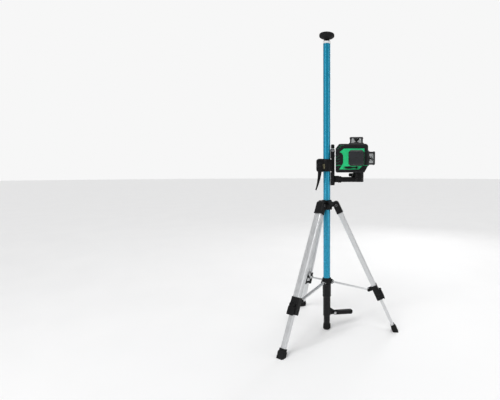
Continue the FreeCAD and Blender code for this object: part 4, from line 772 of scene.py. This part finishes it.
def bracket_pieces():
    """Caps, screws, ribs and the insert of the pole bracket."""
    bolt = spot("clamp_lever_swing")
    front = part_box("clamp_lever")[0].y
    bm = bmesh.new()
    socket_screw(bm, facing((bolt.x, front + 0.3 * MM, bolt.z), (0, -1, 0)), 5.0 * MM, 2.2 * MM)
    piece("clamp_bolt_head", bm, "clamp_lever", "sleeve")

    bm = bmesh.new()
    plate = facing((-11.5 * MM, -15.2 * MM, bolt.z - 4 * MM), (-0.55, -1, 0))
    slab(bm, plate, rounded_rect(3.4 * MM, 8.5 * MM, 1.0 * MM), -2.0 * MM, 0.9 * MM, 0.3 * MM)
    piece("clamp_insert", bm, "clamp", "worn_insert", 0.2)

    low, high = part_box("clamp_body")
    bm = bmesh.new()
    for z in (low.z + 5 * MM, high.z - 5 * MM):
        place = Matrix.Translation((0, 0, z - 0.9 * MM))
        bead(bm, place, 16.4 * MM, 17.3 * MM, 17.5 * MM, 0.2 * MM, 1.8 * MM)
    under_rail = [vertex for vertex in bm.verts if vertex.co.x > 15.3 * MM]
    bmesh.ops.delete(bm, geom=under_rail, context="VERTS")
    bmesh.ops.holes_fill(bm, edges=bm.edges)
    piece("clamp_beads", bm, "clamp", "plastic")

    low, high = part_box("slide_rail")
    bm = bmesh.new()
    for z in (low.z + 7 * MM, high.z - 8 * MM, high.z - 22 * MM):
        socket_screw(bm, facing((high.x - 0.2 * MM, 0, z), (1, 0, 0)), 3.0 * MM, 1.6 * MM)
    piece("rail_screws", bm, "clamp", "steel")
    bm = bmesh.new()
    middle = high.x - 5.25 * MM
    for side in (-1, 1):
        for x in (middle - 2.2 * MM, middle + 2.2 * MM):
            y = side * high.y
            bar(bm, Matrix(), (x, y, low.z + 4 * MM), (x, y, high.z - 4 * MM), 0.7 * MM)
    piece("rail_ribs", bm, "clamp", "sleeve")
    bm = bmesh.new()
    outer = rounded_rect(5.5 * MM, 8.3 * MM, 2.2 * MM, centre=(middle, 0))
    inner = rounded_rect(5.0 * MM, 7.8 * MM, 1.8 * MM, centre=(middle, 0))
    ring_of(bm, Matrix(), outer, inner, high.z - 8 * MM, high.z - 3 * MM)
    piece("rail_band", bm, "clamp", "steel", 0.15)

    knob_low, knob_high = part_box("height_knob")
    bm = bmesh.new()
    centre = (knob_low + knob_high) / 2
    cap = mm((0, 0), (4.0, 0), (3.6, 0.5), (2.0, 0.8), (0, 0.9))
    lathe(bm, Matrix.Translation((centre.x, 0, knob_high.z - 0.1 * MM)), cap, 32)
    piece("height_knob_cap", bm, "lead_screw", "plastic")
    bm = bmesh.new()
    washer = mm((3.2, 0.1), (6.4, 0.1), (6.8, 0.5), (6.4, 1.1), (3.2, 1.1))
    lathe(bm, Matrix.Translation((centre.x, 0, high.z)), washer, 40)
    piece("height_washer", bm, "clamp", "chrome")

    knob_cap("pivot_knob_cap", "pivot_knob_turn", "pivot_knob", PIVOT_KNOB_FACE, 7.5 * MM)
    knob_cap("pan_knob_cap", "pan_knob_turn", "pan_knob", PAN_KNOB_FACE, 3.6 * MM, -1)

    bm = bmesh.new()
    pivot = spot("arm_fold")
    for side in (-1, 1):
        y = side * ARM_HALF
        start, end = pivot.x + 17 * MM, spot("pan").x - 21 * MM
        for z in (pivot.z - 5.2 * MM, pivot.z - 0.5 * MM, pivot.z + 4.2 * MM):
            bar(bm, Matrix(), (start, y, z), (end, y, z), 0.8 * MM)
    piece("arm_ribs", bm, "arm", "plastic")

    low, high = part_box("turntable")
    bm = bmesh.new()
    radius = (high.x - low.x) / 2
    for z in (low.z + 2.2 * MM, low.z + 7.6 * MM, low.z + 13.0 * MM, high.z - 2.6 * MM):
        bead(bm, Matrix.Translation((spot("pan").x, 0, z - 0.7 * MM)), radius - 0.6 * MM, radius + 0.3 * MM,
             radius + 0.45 * MM, 0.2 * MM, 1.4 * MM, 64)
    piece("turntable_beads", bm, "level", "plastic")


# ---------------------------------------------------------------- level


def window_pieces():
    """Satin cap covers, boss screws and flange ribs of the three windows."""
    covers, screws, ribs, seats = bmesh.new(), bmesh.new(), bmesh.new(), bmesh.new()
    boss = FLANGE_HALF - 6 * MM
    for place in WINDOWS:
        outline = rounded_rect(CAP_HALF - 1.9 * MM, CAP_HALF - 1.9 * MM, 4.6 * MM, 8)
        hole = rounded_rect(1.7 * MM, 1.7 * MM, 1.699 * MM, 8)
        low, high = WINDOW_STAND - 0.1 * MM, WINDOW_STAND + 0.45 * MM
        ring_of(covers, place, outline, hole, low, high)
        dimple = place @ Matrix.Translation((0, 0, WINDOW_STAND - 0.5 * MM))
        lathe(covers, dimple, mm((0, 0), (1.9, 0), (1.9, 0.5), (1.2, 0.3), (0, 0.2)), 24)
        for sx in (-1, 1):
            for sy in (-1, 1):
                at = place @ Matrix.Translation((sx * boss, sy * boss, FLANGE_THICK + 1.1 * MM))
                socket_screw(screws, at, 2.5 * MM, 1.5 * MM)
            for gap in (0.9 * MM, 3.4 * MM):
                x = sx * (FLANGE_HALF - 3.0 * MM - gap + 1.2 * MM)
                for ends in (((x, -15.5 * MM), (x, 15.5 * MM)), ((-15.5 * MM, x), (15.5 * MM, x))):
                    start, end = ((*point, FLANGE_THICK + 0.2 * MM) for point in ends)
                    bar(ribs, place, start, end, 1.0 * MM)
        octagon = rounded_rect(8.4 * MM, 8.4 * MM, 4.6 * MM, 1)
        slab(seats, place, octagon, FLANGE_THICK + 3.2 * MM, FLANGE_THICK + 4.9 * MM, 1.0 * MM)
    piece("cap_covers", covers, "level", "cap", 0.25)
    piece("window_screws", screws, "level", "window")
    piece("flange_ribs", ribs, "level", "window")
    piece("prism_seats", seats, "level", "prism_seat", 0.2)


def armour_pieces():
    """Ribs, pads and the coloured seam of the rubber armour, and the grip ribs on its sides."""
    low, high = level_box("front_armour")
    front, left, right = low.y, low.x, high.x
    face = LEVEL @ facing((0, front, 0), (0, -1, 0), (1, 0, 0))
    bm = bmesh.new()
    for count in range(5):
        z = (13.6 + 9.4 * count) * MM
        start = Vector((left + 3.4 * MM, z + 2.6 * MM, 0))
        end = Vector((left + 14.6 * MM, z + 7.6 * MM, 0))
        run = (end - start).normalized()
        side = Vector((-run.y, run.x, 0)) * 3.0 * MM
        outline = [(p.x, p.y) for p in (start - side, end - side, end + side, start + side)]
        slab(bm, face, outline, -0.5 * MM, 1.0 * MM, 0.7 * MM)
    piece("armour_ribs", bm, "level", "armour", 0.6)

    bm = bmesh.new()
    pad = ((21.4, 6.6), (15.8, 6.6), (8.6, 18.4), (8.6, 24.4), (10.4, 24.4), (21.4, 12.6))
    slab(bm, face, [(right - x * MM, z * MM) for x, z in pad], -1.2 * MM, 0.1 * MM, 0.5 * MM)
    piece("corner_pad", bm, "level", "armour", 0.4)

    bm = bmesh.new()
    z = WINDOW_Z - FLANGE_HALF + 1.6 * MM
    rim = 3.5 * MM
    join = front + 16.5 * MM
    panel_left, panel_right = left + 20.4 * MM, right - 16.9 * MM
    runs = (
        ([(left, join), (left, front + rim), (left + rim, front), (panel_left, front)],
         [(-1, 0), (-1, -0.41), (-0.41, -1), (0, -1)]),
        ([(panel_right, front), (right - rim, front), (right, front + rim), (right, join)],
         [(0, -1), (0.41, -1), (1, -0.41), (1, 0)]),
    )
    for points, normals in runs:
        path = [LEVEL @ Vector((*point, z)) for point in points]
        outward = [LEVEL.to_3x3() @ Vector((*normal, 0)).normalized() for normal in normals]
        strip(bm, path, outward, 0.9 * MM, 0.12 * MM)
    piece("armour_seam", bm, "level", "green")

    bm = bmesh.new()
    back = level_box("rear_armour")[1].y
    for side, out in ((left, -1), (right, 1)):
        x = side - out * 0.35 * MM
        for y in (front + 8.5 * MM, back - 9 * MM):
            for count in range(5):
                z = (32 + 8 * count) * MM
                bar(bm, LEVEL, (x, y - 4.2 * MM, z), (x, y + 4.2 * MM, z + 2.4 * MM), 1.1 * MM)
    piece("side_grips", bm, "level", "armour")

    bm = bmesh.new()
    top = high.z
    for y in (front + 8.2 * MM, back - 9 * MM):
        outline = rounded_rect(11 * MM, 3.2 * MM, 1.2 * MM)
        place = LEVEL @ Matrix.Translation((left + 27.5 * MM, y, top))
        slab(bm, place, outline, -0.6 * MM, 0.5 * MM, 0.5 * MM)
    piece("top_pads", bm, "level", "armour", 0.3)


def panel_pieces():
    """The disc and ribs on the lock slider, and the label plate with plain bars and a triangle."""
    low, high = level_box("lock_slider")
    disc = LEVEL @ facing((low.x + 40 * MM, low.y, (low.z + high.z) / 2), (0, -1, 0), (1, 0, 0))
    bm = bmesh.new()
    lathe(bm, disc, mm((0, -0.4), (3.7, -0.4), (3.7, 0.5), (3.2, 0.9), (2.5, 0.9), (2.1, 0.3), (1.4, 0.3),
                       (1.0, 0.7), (0, 0.8)), 36)
    for count in range(5):
        x = (-18.5 - 3.2 * count) * MM
        bar(bm, disc, (x, -2.6 * MM, 0.05 * MM), (x, 2.6 * MM, 0.05 * MM), 0.55 * MM)
    piece("slider_disc", bm, "lock_slider", "plastic")

    band = level_box("level_core")[1].x
    plate = LEVEL @ facing((band, -0.8 * MM, 79.6 * MM), (1, 0, 0), (0, 1, 0))
    bm = bmesh.new()
    slab(bm, plate, rounded_rect(12.2 * MM, 4.2 * MM, 0.7 * MM, 4), -0.3 * MM, 0.2 * MM)
    piece("label_plate", bm, "level", "label", 0.08)
    bm = bmesh.new()
    for x, y, half_x, half_y in ((2.4, 1.2, 7.2, 1.0), (2.4, -1.1, 7.2, 0.28), (0, -2.4, 9.6, 0.28)):
        outline = rounded_rect(half_x * MM, half_y * MM, 0.2 * MM, 2, (x * MM, y * MM))
        slab(bm, plate, outline, 0.1 * MM, 0.26 * MM)
    triangle = [(-10.4 * MM, -0.6 * MM), (-6.6 * MM, -0.6 * MM), (-8.5 * MM, 2.6 * MM)]
    slab(bm, plate, triangle, 0.1 * MM, 0.26 * MM)
    piece("label_bars", bm, "level", "label_ink")


def door_pieces():
    """Ribs and a thumb catch on the battery door, and the ring round the mode key."""
    low, high = level_box("battery_door")
    middle = (low.x + high.x) / 2
    face = LEVEL @ facing((middle, high.y, 0), (0, 1, 0), (-1, 0, 0))
    bm = bmesh.new()
    for count in range(6):
        z = low.z + (12 + 7 * count) * MM
        bar(bm, face, (-11 * MM, z, 0), (11 * MM, z, 0), 0.9 * MM)
    piece("door_ribs", bm, "battery_door", "armour")
    bm = bmesh.new()
    for count in range(3):
        z = high.z - (13.5 + 2.2 * count) * MM
        bar(bm, face, (-6 * MM, z, 0), (6 * MM, z, 0), 0.6 * MM)
    piece("door_catch_ribs", bm, "battery_door", "armour")
    key = level_box("mode_key")
    centre = (key[0] + key[1]) / 2
    bm = bmesh.new()
    ring = mm((2.0, -0.2), (2.0, 0.2), (2.4, 0.35), (2.8, 0.2), (2.8, -0.2))
    lathe(bm, LEVEL @ Matrix.Translation((centre.x, centre.y, key[1].z - 0.05 * MM)), ring, 32)
    piece("key_ring", bm, "mode_key", "white")


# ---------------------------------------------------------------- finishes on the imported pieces

FINISHES = {
    "pole": ["pole_tube"],
    "white": ["pole_ring"],
    "plastic": ["pad_stem", "jack_lever", "spider", "spider_knob", "brace_hub", "clamp_body", "clamp_lever",
                "carriage", "platform_arm", "pivot_knob", "pan_knob", "turntable", "height_knob",
                "lock_slider"],
    "sleeve": ["jack_sleeve", "jack_plunger", "slide_rail"],
    "rubber": ["clamp_liner"],
    "steel": ["jack_pin", "hinge_pins", "hub_pins", "mount_screw"],
    "chrome": ["lead_screw"],
    "green": ["level_core"],
    "armour": ["front_armour", "rear_armour", "battery_door"],
    "window": ["window_frames"],
    "pane": ["glass_panes"],
    "cone": ["cone_prisms"],
    "battery": ["battery_pack"],
    "key": ["mode_key"],
    "alloy": ["gimbal_ring", "pendulum"],
    "brass": ["laser_modules"],
}


def coat(node, material):
    """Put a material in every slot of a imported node."""
    mesh = nodes[node].data
    if not mesh.materials:
        mesh.materials.append(material)
    for index in range(len(mesh.materials)):
        mesh.materials[index] = material


SILVER = {"spread": 0.07, "grain": 1300.0, "relief": 0.01, "edge": 0.3, "scratches": 0.1, "Metallic": 0.85}


def coat_all():
    """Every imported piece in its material, with the aluminium brushed along each leg and strut."""
    for paint, names in FINISHES.items():
        for name in names:
            coat(name, M[paint])
    for leg in LEGS:
        for name in (f"leg_elbow_{leg}", f"leg_lock_{leg}", f"lock_lever_{leg}"):
            coat(name, M["plastic"])
        coat(f"leg_foot_{leg}", M["rubber"])
        brushed = finish(
            f"leg_aluminium_{leg}", (0.74, 0.75, 0.76), (0.68, 0.69, 0.70), rough=0.36,
            streak=direction(f"leg_extend_{leg}"), **SILVER,
        )
        coat(f"leg_upper_{leg}", brushed)
        coat(f"leg_lower_{leg}", brushed)
        along = Vector((*(direction(f"strut_fold_{leg}").cross(UP).xy), 0)) + UP * -0.2
        coat(f"strut_{leg}", finish(
            f"strut_aluminium_{leg}", (0.70, 0.71, 0.72), (0.62, 0.63, 0.64), rough=0.34,
            streak=along, **SILVER,
        ))


# ---------------------------------------------------------------- the scene


def floor():
    """A plain floor that isn't part of the object."""
    bm = bmesh.new()
    lathe(bm, Matrix(), [(0, 0), (30, 0), (30, -0.02), (0, -0.02)], 96)
    mesh = bpy.data.meshes.new("floor")
    bm.to_mesh(mesh)
    bm.free()
    mesh.materials.append(floor_paint())
    obj = bpy.data.objects.new("floor", mesh)
    bpy.context.scene.collection.objects.link(obj)


camera()
studio()
floor()
coat_all()
pad_piece()
foot_piece()
sleeve_pieces()
lever_pieces()
spider_pieces()
for leg in LEGS:
    leg_pieces(leg)
    strut_pieces(leg)
hub_pieces()
bracket_pieces()
window_pieces()
armour_pieces()
panel_pieces()
door_pieces()
